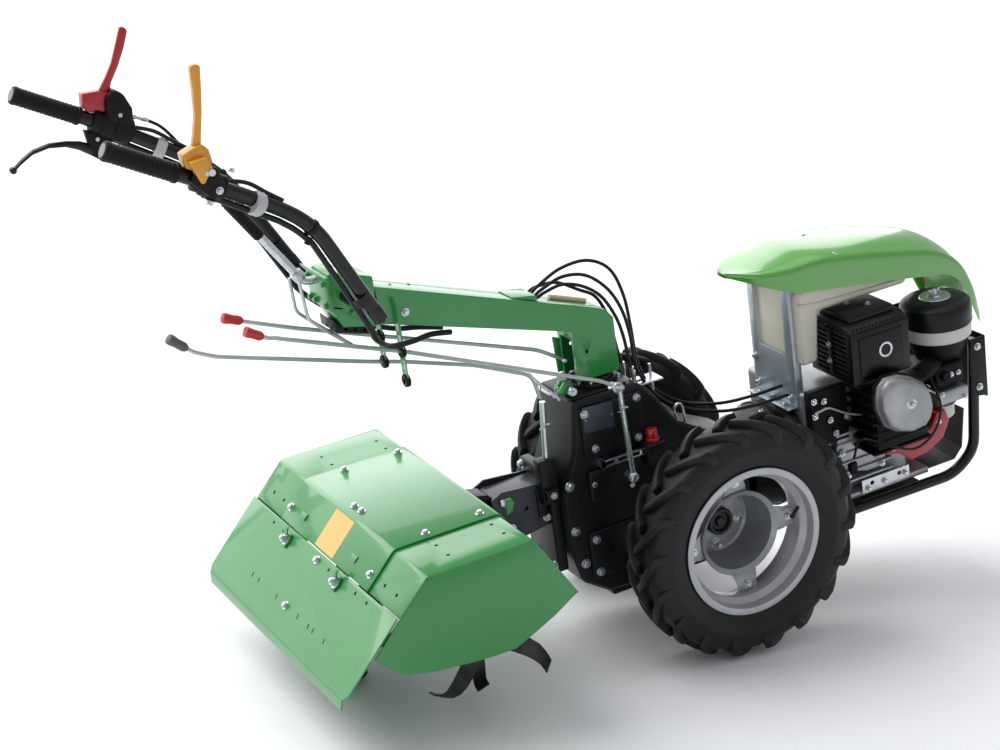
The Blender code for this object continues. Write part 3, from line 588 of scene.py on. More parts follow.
for k in range(8):
    turn = Matrix.Rotation(2 * pi * k / 8 + 0.2, 4, "X")
    centre = Vector((0.23, 0, 0.03)) + turn @ Vector((0, 0, 0.113))
    cover_bolts.append(bolt_at(centre, REAR, 0.012))
    for sign in (-1, 1):
        flange_bolt = Matrix.Rotation(2 * pi * k / 8, 4, "Y") @ Vector((0, 0, 0.049))
        cover_bolts.append(bolt_at(flange_bolt + Vector((0, sign * 0.119, 0)), (0, sign, 0),
            0.008))
for x, z in ((-0.235, 0.221), (-0.251, 0.142), (-0.128, 0.214), (-0.16, 0.112), (-0.252, 0.306),
        (-0.122, 0.306)):
    cover_bolts.append(bolt_at((x, -0.088, z), RIGHT, 0.012))
for x, z in ((-0.262, 0.012), (-0.136, 0.012), (-0.262, -0.066), (-0.136, -0.066)):
    cover_bolts.append(bolt_at((x, -0.09, z), RIGHT, 0.013))
for x, z in ((-0.305, 0.15), (-0.305, 0.043), (-0.29, -0.04), (0.02, -0.1), (0.1, 0.08)):
    cover_bolts.append(bolt_at((x, -0.08, z), RIGHT, 0.014))
for y in (-0.052, 0.052):
    for z in (-0.034, 0.176):
        cover_bolts.append(bolt_at((-0.348, y, z), REAR, 0.013))
gear_housing = joined("gear_housing", castings + cover_bolts)
fitted(gear_housing, "chassis", "gearbox_black", "gearbox", "bell_housing")

# ---------------------------------------------------------------- type plate and slotted strap
# A blank, dark type plate held by two rivets, and a slotted zinc strap under it.
PLATE_GREY = surface("type_plate", (0.055, 0.07, 0.085), (0.07, 0.085, 0.1), 0.42, metallic=0.6,
    grain=600, depth=0.05)
plate = painted(eased(slab("plate", [(-0.256, 0.262), (-0.182, 0.258), (-0.182, 0.316),
    (-0.256, 0.322)], -0.0892, -0.088), 0.0003), PLATE_GREY)
rivets = [drum("rivet", 0.0022, 0.0012, (x, -0.0897, z), LEFT, 12) for x, z in
    ((-0.251, 0.292), (-0.187, 0.287))]
strap = drilled(eased(box_of("strap", (-0.232, -0.101, 0.176), (-0.1, -0.0985, 0.192)), 0.0006),
    [eased(box_of("slot", (x, -0.11, 0.18), (x + 0.022, -0.09, 0.188)), 0.002) for x in
    (-0.222, -0.19, -0.158, -0.128)])
tail = box_of("tail", (-0.232, -0.101, 0.176), (-0.222, -0.08, 0.192))
plates = joined("type_plate_and_strap", [plate] + [painted(piece, ZINC) for piece in rivets +
    [strap, tail]])
fitted(plates, "chassis", "charcoal")

# ---------------------------------------------------------------- filler cap
# A red plastic plug with a six-sided grip, pushed into the boss on the gearbox's side.
PLUG_RED = surface("plug_red", (0.56, 0.012, 0.016), (0.44, 0.008, 0.012), 0.3, coat=0.3,
    grain=300, depth=0.05)
skirt = spun("skirt", [(0.0, 0.2005), (0.015, 0.2005), (0.0156, 0.202), (0.0156, 0.208),
    (0.0145, 0.2095), (0.0, 0.2095)], (-0.1, -0.098, 0), "Z", 36)
grip = eased(drum("grip", 0.014, 0.02, (-0.1, -0.098, 0.219), steps=6, tip=0.013), 0.002, 3)
plug = painted(joined("filler_plug", [skirt, grip]), PLUG_RED)
fitted(plug, "chassis", "red", "filler_cap")

# ---------------------------------------------------------------- selector shafts
# Bright steel shafts standing beside the gearbox: the front one ends in a ball on the shift
# arm, the rear one in a slotted block. Spring clips hold the control rods' eyes on them.


def bent(points, bend):
    """The route through the points with each inner corner turned into a short curve."""
    points = [Vector(p) for p in points]
    route = [points[0]]
    for before, corner, after in zip(points, points[1:], points[2:]):
        back, ahead = before - corner, after - corner
        reach = min(bend, 0.45 * back.length, 0.45 * ahead.length)
        first, last = corner + back.normalized() * reach, corner + ahead.normalized() * reach
        route += [(1 - t) ** 2 * first + 2 * t * (1 - t) * corner + t * t * last for t in
            (0, 0.2, 0.4, 0.6, 0.8, 1)]
    return [*route, points[-1]]


def bar_along(name, points, radius, steps=14, bend=0.0):
    """A round bar swept along the points, with its corners bent, closed at both ends."""
    route = bent(points, bend) if bend else [Vector(p) for p in points]
    bpy.ops.object.select_all(action="DESELECT")
    bpy.ops.curve.primitive_nurbs_path_add()
    path = bpy.context.object
    path.name = name
    path.data.splines.clear()
    spline = path.data.splines.new("POLY")
    spline.points.add(len(route) - 1)
    for knot, place in zip(spline.points, route):
        knot.co = (*place, 1)
    path.data.bevel_depth = radius
    path.data.bevel_resolution = max(0, steps // 4 - 1)
    path.data.use_fill_caps = True
    bpy.ops.object.convert(target="MESH")
    return cleaned(bpy.context.object)


def spring_clip(place):
    """A bent wire clip through a shaft's cross hole."""
    x, y, z = place
    return bar_along("clip", [(x - 0.012, y - 0.01, z + 0.004), (x + 0.004, y - 0.014, z),
        (x + 0.01, y - 0.01, z), (x + 0.004, y - 0.004, z), (x - 0.004, y - 0.01, z - 0.006),
        (x - 0.014, y - 0.004, z - 0.008)], 0.0011, 8, 0.004)


front_shaft = bar_along("front_shaft", [(-0.176, -0.118, 0.3465), (-0.168, -0.118, 0.15)], 0.0062,
    16)
ball = spun("ball", [(0.0, -0.131)] + [(0.0135 * sin(pi * k / 10), -0.1175 - 0.0135 *
    cos(pi * k / 10)) for k in range(1, 9)] + [(0.0085, -0.105), (0.0085, -0.08), (0.0, -0.08)],
    (-0.168, 0, 0.142), "Y", 32)
rear_shaft = bar_along("rear_shaft", [(-0.33, -0.055, 0.35), (-0.34, -0.055, 0.215)], 0.007, 16)
front = joined("front_selector", [painted(p, ZINC) for p in (front_shaft, ball,
    spring_clip((-0.1745, -0.118, 0.31)))])
fitted(front, "chassis", "silver", "side_selector")
block = eased(box_of("block", (-0.365, -0.07, 0.12), (-0.3255, -0.04, 0.222)), 0.003, 3)
cheek = eased(box_of("cheek", (-0.362, -0.082, 0.13), (-0.33, -0.0695, 0.156)), 0.003, 3)
rear = joined("rear_selector_block", [painted(block, CAST_BLACK), painted(cheek, CAST_BLACK),
    painted(rear_shaft, ZINC), painted(spring_clip((-0.334, -0.055, 0.3)), ZINC),
    bolt_at((-0.345, -0.082, 0.143), RIGHT, 0.01)])
fitted(rear, "chassis", "silver", "rear_selector")

# ---------------------------------------------------------------- swivel turret and its lock
# A turned black ring on the gearbox carries the column. A green sprung lever with a steel
# roller drops into the ring to lock the column straight, or to either side.
GREEN = surface("green_enamel", (0.024, 0.27, 0.055), (0.02, 0.245, 0.05), 0.28, coat=0.55,
    grain=140, depth=0.025, patches=3)
turret = spun("turret", [(0.0, 0.3404), (0.056, 0.3404), (0.057, 0.3415), (0.057, 0.348),
    (0.0555, 0.3495), (0.0475, 0.35), (0.0465, 0.356), (0.0, 0.356)], (-0.178, 0, 0), "Z", 64)
turret = painted(turret, CAST_BLACK)
notches = [drum("pin", 0.0035, 0.006, (-0.178 + 0.0515 * cos(a), 0.0515 * sin(a), 0.351)) for a in
    (radians(120), radians(150), radians(180), radians(210), radians(240))]
turret = joined("swivel_ring", [turret] + [painted(pin, ZINC) for pin in notches])
fitted(turret, "chassis", "gearbox_black", "swivel_turret")
arm = slab("arm", [(-0.284, 0.3425), (-0.25, 0.3405), (-0.243, 0.35), (-0.25, 0.37),
    (-0.276, 0.3745), (-0.288, 0.36)], -0.04, -0.03, "Y", 0.002)
ear = slab("ear", [(-0.292, 0.356), (-0.276, 0.348), (-0.262, 0.365), (-0.272, 0.376)], -0.056,
    -0.048, "Y", 0.002)
web = eased(box_of("web", (-0.286, -0.05, 0.354), (-0.268, -0.038, 0.366)), 0.002)
roller = spun("roller", [(0.0035, -0.072), (0.0085, -0.072), (0.0095, -0.0705), (0.0095, -0.059),
    (0.0085, -0.0575), (0.0035, -0.0575)], (-0.262, 0, 0.356), "Y", 32)
pin = drum("pin", 0.0038, 0.03, (-0.262, -0.061, 0.356), LEFT, 16)
lock = joined("swivel_lock_lever", all_painted((arm, ear, web), GREEN) +
    all_painted((roller, pin), ZINC))
fitted(lock, "chassis", "green", "swivel_lock")

# ---------------------------------------------------------------- tiller coupling
# A dark grey folded channel that bolts the tiller's drive head to the gearbox's rear flange.
CHARCOAL = surface("charcoal_enamel", (0.02, 0.026, 0.032), (0.028, 0.034, 0.042), 0.34,
    metallic=0.2, coat=0.2, grain=200, depth=0.06, patches=8)
channel = from_cad("channel", "coupling_tube", 0.003, 3)
wing = slab("wing", [(-0.476, 0.066), (-0.42, 0.052), (-0.33, 0.066), (-0.33, 0.16),
    (-0.45, 0.172), (-0.476, 0.16)], -0.046, -0.0402, "Y", 0.0012)
drilled(wing, [drum("hole", 0.006, 0.03, (-0.398, -0.043, 0.118), LEFT, 24)])
clevis_pin = drum("clevis_pin", 0.008, 0.11, (-0.452, 0, 0.15), LEFT, 24)
coupling = joined("coupling_channel", [painted(channel, CHARCOAL), painted(wing, CHARCOAL),
    painted(copied(wing, MIRROR), CHARCOAL), painted(eased(clevis_pin, 0.0015), ZINC)] +
    [bolt_at((x, -0.046, z), RIGHT, 0.015) for x, z in ((-0.44, 0.082), (-0.35, 0.084),
    (-0.35, 0.142))])
fitted(coupling, "chassis", "charcoal", "coupling_tube")

# ---------------------------------------------------------------- tiller covers
# Folded sheet steel in green enamel. The middle cover lies on two extensions, which carry the
# side plates, and is bolted through them. Spare holes take the narrower settings.
LABEL = surface("blank_label", (0.8, 0.52, 0.16), (0.74, 0.46, 0.13), 0.45, grain=400, depth=0.02)
FOLDS = [(-0.46, 0.069), (-0.545, 0.2175), (-0.782, 0.2175), (-0.8518, 0.1482)]
TILLER_HALF, COVER_HALF = 0.377, 0.228


def sheet_of(name, line, inset, low, high, bend=0.007):
    """A 4 mm sheet folded along the line, its outer face moved inwards by the inset."""
    route = bent(line, bend)

    def moved(distance):
        result = []
        for i, point in enumerate(route):
            along = route[min(i + 1, len(route) - 1)] - route[max(i - 1, 0)]
            result.append(point + Vector((-along.y, along.x)).normalized() * distance)
        return result

    outline = moved(inset) + moved(inset + 0.004)[::-1]
    return eased(slab(name, outline, low, high), 0.0008, 2, 50)


def on_slope(s, y, lift=0.0):
    """A place on the rear panel: down from its fold, across, and proud of the extensions."""
    return Vector((-0.782 - 0.7096 * s - 0.7046 * lift, y, 0.2175 - 0.7046 * s + 0.7096 * lift))


BACK = Vector((-0.7046, 0, 0.7096))
middle = sheet_of("middle", FOLDS, -0.0044, -COVER_HALF, COVER_HALF)
throat = box_of("throat", (-0.6, -0.066, 0.03), (-0.44, 0.066, 0.212))
middle = painted(drilled(middle, [throat]), GREEN)
pieces = [middle]
for x, y in ((-0.571, 0.206), (-0.701, 0.206), (-0.761, 0.016), (-0.76, -0.018), (-0.576, -0.204),
        (-0.703, -0.209)):
    pieces.append(bolt_at((x, y, 0.2219), UP, 0.0115))
for s, y in ((0.066, 0.212), (0.067, -0.206)):
    pieces.append(bolt_at(on_slope(s, y, 0.0044), BACK, 0.012))
label = lofted("label", [[on_slope(s, y, lift) for s, y in ((0.006, -0.046), (0.006, 0.046),
    (0.094, 0.046), (0.094, -0.046))] for lift in (0.0044, 0.0049)])
pieces.append(painted(label, LABEL))
for y in (-0.12, 0.145):
    seat = lofted("seat", [[on_slope(s, y + side, lift) for s, side in ((0.056, -0.012),
        (0.056, 0.012), (0.071, 0.012), (0.071, -0.012))] for lift in (0.0044, 0.0074)])
    pieces.append(painted(eased(seat, 0.0008), GREEN))
stay = eased(slab("stay", [(-0.5, 0.215), (-0.5, 0.18), (-0.486, 0.186), (-0.48, 0.203),
    (-0.486, 0.215)], -0.17, -0.166), 0.001)
pieces.append(painted(stay, GREEN))
fitted(joined("tiller_middle_cover", pieces), "chassis", "green", "tiller_cover")

OUTLINE = [(-0.782, 0.215), (-0.546, 0.215), (-0.463, 0.069), (-0.52, 0.036), (-0.572, 0.013),
    (-0.614, -0.004), (-0.66, -0.004), (-0.719, 0.001), (-0.79, 0.01), (-0.85, 0.024),
    (-0.88, 0.042), (-0.9, 0.06), (-0.916, 0.081), (-0.849, 0.149)]
for side, sign in (("right", -1), ("left", 1)):
    low, high = sorted((sign * (COVER_HALF - 0.04), sign * TILLER_HALF))
    wing = sheet_of("wing", FOLDS, 0.0, low, high)
    low, high = sorted((sign * (TILLER_HALF - 0.004), sign * TILLER_HALF))
    wall = eased(slab("wall", OUTLINE, low, high), 0.001)
    holes = [drum("hole", 0.0042, 0.03, (x, sign * abs(y), 0.2175)) for x, y in ((-0.577, -0.257),
        (-0.576, -0.311), (-0.706, -0.264), (-0.707, -0.32))]
    holes += [drum("hole", 0.0042, 0.03, on_slope(s, sign * y), BACK) for s, y in
        ((0.066, 0.266), (0.066, 0.321))]
    cover = joined("cover", [painted(drilled(wing, holes), GREEN), painted(wall, GREEN)])
    cover.name = f"tiller_{side}_cover"
    fitted(cover, "chassis", "green", f"{side}_extension")

# ---------------------------------------------------------------- rear flap
# One green sheet hung behind the tiller on two curled straps. Each is held by a zinc bolt. A
# folded lip stiffens its lower edge.
HINGE = Vector((-0.858, 0, 0.1525))
DOWN, OUT = Vector((-0.7071, 0, -0.7071)), Vector((-0.7071, 0, 0.7071))
foot = HINGE + DOWN * 0.194
lip = foot + Vector((-sin(PITCH), 0, -cos(PITCH))) * 0.024
flap = sheet_of("flap", [(p.x, p.z) for p in (HINGE + DOWN * 0.0006, foot, lip)], 0.0,
    -TILLER_HALF, TILLER_HALF, 0.004)
holes = [drum("hole", 0.004, 0.03, HINGE + DOWN * 0.016 + Vector((0, y, 0)), OUT, 16) for y in
    (0.238, 0.183, -0.063, -0.199, -0.254)]
for y in (0.196, 0.161, 0.06, -0.056, -0.112, -0.136, -0.193):
    slot = eased(box_of("slot", (-0.006, -0.002, -0.02), (0.006, 0.002, 0.02)), 0.0018, 3)
    slot.data.transform(Matrix.Translation(HINGE + DOWN * 0.132 + Vector((0, y, 0))) @
        Matrix.Rotation(radians(-45), 4, "Y") @ Matrix.Rotation(radians(20), 4, "Z"))
    holes.append(slot)
for sign in (-1, 1):
    corner = [HINGE + DOWN * s + Vector((0, sign * y, 0)) for s, y in ((0.172, 0.38),
        (0.182, 0.374), (0.19, 0.366), (0.24, 0.352), (0.24, 0.39), (0.172, 0.39))]
    holes.append(lofted("corner", [[p + OUT * t for p in corner] for t in (-0.05, 0.03)]))
flap = painted(drilled(flap, holes), GREEN)
pieces = [flap, bolt_at(HINGE + DOWN * 0.016 + Vector((0, -0.003, 0)), OUT, 0.012), bolt_at(HINGE +
    DOWN * 0.132 + Vector((0, 0.007, 0)), OUT, 0.012)]
for y in (-0.12, 0.145):
    rings = []
    for k in range(10):
        turn = radians(225 - 10.5 * k)
        spoke = Vector((cos(turn), 0, sin(turn)))
        rings.append([HINGE + spoke * (radius - 0.0001 * k) + OUT * 0.004 +
            Vector((0, y + side, 0)) for radius, side in ((0.015, -0.009), (0.015, 0.009),
            (0.0185, 0.009), (0.0185, -0.009))])
    strap = eased(lofted("strap", rings), 0.001, 2, 50)
    pad = lofted("pad", [[HINGE + DOWN * s + OUT * lift + Vector((0, y + side, 0)) for s, side in
        ((0.01, -0.01), (0.01, 0.01), (0.042, 0.01), (0.042, -0.01))] for lift in (0.0, 0.0045)])
    pieces += [painted(strap, GREEN), painted(eased(pad, 0.001), GREEN)]
    pin = HINGE + DOWN * 0.026 + OUT * 0.0045 + Vector((0, y - 0.002, 0))
    pieces.append(bolt_at(pin, OUT, 0.015))
    pieces.append(bolt_at(pin + OUT * 0.01, OUT, 0.0105))
fitted(joined("rear_flap_sheet", pieces), "flap", "green", "rear_flap")

# ---------------------------------------------------------------- tiller gear case, skid, rotor
# The cast chain case bolts behind the coupling, with the forged depth skid on its back. Hooked
# steel blades, worn and black, bolt to flanges on the rotor shaft.
gears = [painted(from_cad("gears", "tiller_gear_case", 0.004, 2), CAST_BLACK)]
for x, z in ((-0.505, 0.15), (-0.57, 0.15), (-0.64, 0.12), (-0.71, 0.04), (-0.69, -0.035),
        (-0.63, -0.035), (-0.56, 0.04)):
    for sign in (-1, 1):
        gears.append(bolt_at((x, sign * 0.03, z), (0, sign, 0), 0.011))
gears.append(painted(spun("bearing", [(0.0, -0.03), (0.04, -0.03), (0.042, -0.029), (0.042, 0.029),
    (0.04, 0.03), (0.0, 0.03)], (-0.66, 0, 0.0185), "Y", 40), CAST_BLACK))
fitted(joined("chain_case", gears), "chassis", "gearbox_black", "tiller_gear_case")
skid = painted(from_cad("skid", "depth_skid", 0.002, 2), CAST_BLACK)
fitted(skid, "chassis", "black", "depth_skid")
SHAFT = (-0.66, 0, 0.0185)
TINE = surface("worn_steel", (0.016, 0.016, 0.017), (0.06, 0.058, 0.056), 0.42, metallic=0.6,
    grain=160, depth=0.22, patches=22)


def tine(reach):
    """A flat blade that stands out along +X and curls sideways towards +Y at its tip."""
    rings = []
    for out, side, lean in ((0.03, 0.004, 0.0), (0.075, 0.004, 0.0), (0.11, 0.005, -0.004),
            (0.134, 0.01, -0.01), (0.148, 0.02, -0.017), (0.1545, 0.033, -0.024),
            (0.156, max(reach, 0.036), -0.028)):
        thick = 0.006 if side < 0.008 else 0.004
        curl = min(max((side - 0.005) / 0.02, 0.0), 1.0)
        dx, dy = -thick * curl, thick * (1 - curl)
        half = 0.019 - 0.004 * curl
        rings.append([(out, side, lean - half), (out, side, lean + half),
            (out + dx, side + dy, lean + half), (out + dx, side + dy, lean - half)])
    return eased(lofted("tine", rings), 0.0012, 1, 40)


for side, sign in (("right", -1), ("left", 1)):
    pieces = [drum("shaft", 0.019, 0.3185, (-0.66, sign * 0.19075, 0.0185), LEFT, 32)]
    for place, start, reach in ((0.09, 50, 0.055), (0.2, 75, 0.055), (0.318, 30, 0.04)):
        pieces.append(spun("flange", [(0.018, sign * (place - 0.004)),
            (0.049, sign * (place - 0.004)), (0.05, sign * place), (0.049, sign * (place + 0.004)),
            (0.018, sign * (place + 0.004))], SHAFT, "Y", 32))
        for k in range(4):
            hook = sign if k % 2 == 0 else -sign
            blade = tine(reach if hook == sign else 0.05)
            if hook < 0:
                blade.data.transform(MIRROR)
                blade.data.flip_normals()
            blade.data.transform(Matrix.Translation((-0.66, sign * place, 0.0185)) @
                Matrix.Rotation(radians(90 * k + start), 4, "Y"))
            pieces.append(blade)
    all_painted(pieces, TINE)
    for place, start in ((0.09, 50), (0.2, 75), (0.318, 30)):
        for k in range(4):
            spoke = Matrix.Rotation(radians(90 * k + start), 4, "Y") @ Vector((0.042, 0, 0))
            for facing in (-1, 1):
                seat = 0.01 if (facing * sign > 0) == (k % 2 == 0) else 0.004
                pieces.append(bolt_at(spoke +
                    Vector((-0.66, sign * place + facing * seat, 0.0185)), (0, facing, 0), 0.012))
    rotor = joined("rotor", pieces)
    rotor.name = f"{side}_rotor_blades"
    fitted(rotor, "rotor", "tine", f"{side}_rotor")

# ---------------------------------------------------------------- column
# A welded box-section arm and post in green enamel, open at the back of the post. A split
# casting at its rear end clamps the handlebar's cross tube, with a black stop plate under it.
RUBBER_BLACK = surface("rubber_black", (0.005, 0.005, 0.005), (0.009, 0.009, 0.009), 0.5,
    grain=320, depth=0.1, specular=0.2)
ARM_HALF = 0.0375
arm = slab("arm", [(-0.66, 0.7), (-0.165, 0.512), (-0.143, 0.501), (-0.127, 0.48),
    (-0.127, 0.3575), (-0.229, 0.3575), (-0.229, 0.475), (-0.655, 0.617)], -ARM_HALF, ARM_HALF)
hollow = slab("hollow", [(-0.645, 0.689), (-0.167, 0.506), (-0.131, 0.478), (-0.131, 0.34),
    (-0.225, 0.34), (-0.225, 0.479), (-0.645, 0.619)], -ARM_HALF + 0.004, ARM_HALF - 0.004)
window = eased(box_of("window", (-0.24, -0.024, 0.33), (-0.22, 0.024, 0.452)), 0.004, 3)
side_hole = drum("hole", 0.0038, 0.1, (-0.2, 0, 0.421), LEFT, 20)
arm = eased(drilled(drilled(drilled(arm, [hollow]), [window]), [side_hole]), 0.0022, 3, 40)
painted(arm, GREEN)
pieces = [arm, bolt_at((-0.601, -ARM_HALF, 0.628), RIGHT, 0.011),
    bolt_at((-0.601, ARM_HALF, 0.628), LEFT, 0.011)]
cheek = eased(slab("cheek", [(-0.25, 0.454), (-0.232, 0.446), (-0.232, 0.37), (-0.246, 0.37)],
    0.02, 0.024), 0.001)
pieces += [painted(cheek, GREEN)]
pieces += [painted(drum("dimple", 0.004, 0.003, (x, y, 0.7 - 0.3798 * (x + 0.66) + 0.0008),
    (0.355, 0, 0.935), 16, 0.003), GREEN) for x, y in ((-0.61, 0.0), (-0.56, 0.022))]
shelf = slab("shelf", [(-0.355, 0.587), (-0.3, 0.577), (-0.296, 0.564), (-0.355, 0.584)], -0.03,
    0.034, "Y", 0.001)
pieces.append(painted(shelf, GREEN))
pieces.append(painted(bar_along("sleeve", [(-0.25, 0.01, 0.549), (-0.205, 0.01, 0.532),
    (-0.165, 0.01, 0.516)], 0.0056, 16, 0.01), surface("tan_sleeve", (0.88, 0.68, 0.5),
    (0.8, 0.58, 0.4), 0.5)))
fitted(joined("column_arm", pieces), "column", "green", "column")

head = slab("head", [(-0.757, 0.674), (-0.757, 0.752), (-0.745, 0.756), (-0.6605, 0.724),
    (-0.6605, 0.7005), (-0.668, 0.617), (-0.74, 0.635)], -0.042, 0.042, "Y", 0.003)
slit = slab("slit", [(-0.79, 0.696), (-0.79, 0.6925), (-0.735, 0.6735), (-0.735, 0.677)], -0.05,
    0.05)
head = drilled(head, [slit])
flange = eased(box_of("flange", (-0.766, -0.05, 0.678), (-0.756, 0.05, 0.75)), 0.003, 3)
rib = eased(box_of("rib", (-0.73, -0.044, 0.69), (-0.67, 0.044, 0.696)), 0.002)
pieces = [painted(head, GREEN), painted(flange, GREEN), painted(rib, GREEN)]
for y, z in ((-0.04, 0.736), (-0.04, 0.69), (0.04, 0.736), (0.04, 0.69), (0.014, 0.69)):
    pieces.append(painted(bolt_at((-0.766, y, z), REAR, 0.011), GREEN))
for z in (0.728, 0.662):
    pieces.append(painted(bolt_at((-0.714, -0.042, z), RIGHT, 0.011), GREEN))
    pieces.append(painted(bolt_at((-0.714, 0.042, z), LEFT, 0.011), GREEN))
stop = slab("stop", [(-0.756, 0.652), (-0.756, 0.628), (-0.672, 0.603), (-0.672, 0.617),
    (-0.74, 0.635)], -0.04, 0.04)
stop = drilled(stop, [drum("hole", 0.0035, 0.2, (x, 0, z), LEFT, 16) for x, z in ((-0.735, 0.63),
    (-0.715, 0.6235), (-0.695, 0.6175))])
pieces.append(painted(eased(stop, 0.0015), CAST_BLACK))
fitted(joined("column_clamp", pieces), "column", "green", "column_head")

# ---------------------------------------------------------------- rod guides and control rods
# Two flat straps hang from the arm, with rubber grommets. The zinc control rods slide in them:
# red knobs on the two upper ones, a grey and black grip on the lowest.
pieces = []
for x, y, low, high, holes, spare in ((-0.6485, 0.0, 0.5225, 0.63, (0.579, 0.5225),
        (0.545, 0.556)), (-0.6265, -0.049, 0.488, 0.668, (0.553, 0.488), (0.51, 0.526))):
    edge = [(y - 0.012, high), (y + 0.012, high)]
    edge += [(y + 0.012 * cos(a), low - 0.012 * sin(a)) for a in [pi * k / 12 for k in range(13)]]
    strip = slab("strip", edge, x - 0.0015, x + 0.0015, "X")
    drills = [drum("hole", 0.0075, 0.02, (x, y, z), (1, 0, 0), 24) for z in holes]
    drills += [drum("hole", 0.0026, 0.02, (x, y, z), (1, 0, 0), 16) for z in spare]
    pieces.append(painted(eased(drilled(strip, drills), 0.0006, 2, 50), GREEN))
    for z in holes:
        pieces.append(painted(spun("grommet", [(0.0062, -0.005), (0.012, -0.0055), (0.014, -0.004),
            (0.014, 0.004), (0.012, 0.0055), (0.0062, 0.005)], (x, y, z), "X", 32), RUBBER_BLACK))
fitted(joined("rod_guides", pieces), "column", "green")
KNOB_RED = surface("knob_red", (0.52, 0.018, 0.02), (0.42, 0.012, 0.014), 0.34, coat=0.25,
    grain=260, depth=0.06)
GRIP_GREY = surface("grip_grey", (0.12, 0.12, 0.125), (0.09, 0.09, 0.095), 0.45, grain=300,
    depth=0.1)
ROD_ZINC = surface("rod_zinc", (0.58, 0.61, 0.6), (0.46, 0.49, 0.49), 0.3, metallic=0.85,
    grain=420, depth=0.06, patches=30)


def turned_along(name, profile, start, end, steps=32):
    """A profile of (radius, share of the length) spun about the line from start to end."""
    start, end = Vector(start), Vector(end)
    reach = (end - start).length
    obj = spun(name, [(r, t * reach) for r, t in profile], (0, 0, 0), "Z", steps)
    turn = Vector((0, 0, 1)).rotation_difference(end - start).to_matrix().to_4x4()
    obj.data.transform(Matrix.Translation(start) @ turn)
    return obj


KNOB = [(0.0, 0.0), (0.0062, 0.0), (0.0088, 0.1), (0.0098, 0.16), (0.0098, 0.62), (0.0106, 0.7),
    (0.0112, 0.86), (0.0104, 0.97), (0.007, 1.0), (0.0, 1.0)]
for name, route, knob, tone in (("reverse_rod", [(-0.962, 0, 0.7075), (-0.83, 0, 0.65),
        (-0.56, 0, 0.545), (-0.3, 0, 0.445), (-0.2375, 0, 0.403)],
        ((-0.934, 0, 0.6955), (-0.974, 0, 0.7135)), KNOB_RED), ("speed_rod",
        [(-0.94, -0.049, 0.685), (-0.905, -0.049, 0.664), (-0.89, -0.049, 0.66),
        (-0.872, -0.049, 0.652), (-0.62, -0.049, 0.55), (-0.378, -0.075, 0.446),
        (-0.205, -0.1, 0.372), (-0.176, -0.105, 0.352)], ((-0.914, -0.049, 0.669),
        (-0.949, -0.049, 0.691)), KNOB_RED), ("implement_rod", [(-1.08, 0, 0.695),
        (-1.045, 0, 0.662), (-1.03, 0, 0.654), (-1.004, 0, 0.64), (-0.687, 0, 0.534),
        (-0.61, 0, 0.511), (-0.46, -0.03, 0.466), (-0.346, -0.055, 0.416), (-0.334, -0.055, 0.36)],
        ((-1.056, 0, 0.672), (-1.09, 0, 0.704)), GRIP_GREY)):
    pieces = [painted(bar_along("rod", route, 0.0045, 16, 0.02), ROD_ZINC),
        painted(turned_along("knob", KNOB, *knob), tone)]
    if name == "speed_rod":
        eye = bar_along("eye", [Vector((-0.176, -0.1115, 0.352)) + Vector((0.0095 *
            cos(2 * pi * k / 16), 0, 0.0095 * sin(2 * pi * k / 16))) for k in range(17)], 0.0034,
            12)
        pieces += [painted(eye, ROD_ZINC), painted(turned_along("boss", [(0.0, 0.0), (0.008, 0.0),
            (0.009, 0.15), (0.009, 0.85), (0.008, 1.0), (0.0, 1.0)], (-0.19, -0.105, 0.36),
            (-0.162, -0.105, 0.344)), ZINC)]
    if name == "implement_rod":
        for side in (-0.0105, 0.0105):
            pieces.append(painted(bar_along("fork", [(-0.352, -0.055, 0.42),
                (-0.346, -0.055 + side, 0.408), (-0.3, -0.055 + side, 0.356),
                (-0.294, -0.055 + side, 0.346)], 0.0034, 12, 0.006), ZINC))
        pieces.append(painted(drum("pin", 0.0042, 0.03, (-0.318, -0.055, 0.37), LEFT, 16), ZINC))
    if name == "reverse_rod":
        pieces.append(painted(drum("pin", 0.004, 0.026, (-0.242, 0, 0.4055), LEFT, 16), ZINC))
    fitted(joined(f"{name}_bent", pieces), "column", "silver", name)
hook = bar_along("hook", [(-0.812, 0.027, 0.745), (-0.81, 0.027, 0.672), (-0.77, 0.027, 0.632),
    (-0.72, 0.027, 0.586), (-0.72, -0.027, 0.586), (-0.77, -0.027, 0.632), (-0.806, -0.027, 0.668),
    (-0.812, -0.027, 0.755)], 0.0038, 14, 0.012)
fitted(painted(hook, ROD_ZINC), "column", "silver", "wire_hook")
stem = bar_along("stem", [(-0.7576, 0, 0.737), (-0.792, 0, 0.737), (-0.88, 0, 0.876)], 0.0085, 20,
    0.02)
RIBBED = [(0.0, 0.0), (0.0105, 0.0)]
for k in range(12):
    RIBBED += [(0.0125, 0.03 + 0.075 * k), (0.0125, 0.07 + 0.075 * k), (0.0112, 0.08 + 0.075 * k)]
lever_grip = turned_along("grip", RIBBED + [(0.0125, 0.96), (0.009, 1.0), (0.0, 1.0)],
    (-0.866, 0, 0.8545), (-0.924, 0, 0.945))
collar = turned_along("collar", [(0.0, 0.0), (0.012, 0.0), (0.013, 0.1), (0.013, 0.9),
    (0.012, 1.0), (0.0, 1.0)], (-0.797, 0, 0.746), (-0.808, 0, 0.763))
fitted(joined("height_handle", [painted(stem, ZINC), painted(collar, ZINC),
    painted(lever_grip, RUBBER_BLACK)]), "column", "silver", "height_lever")

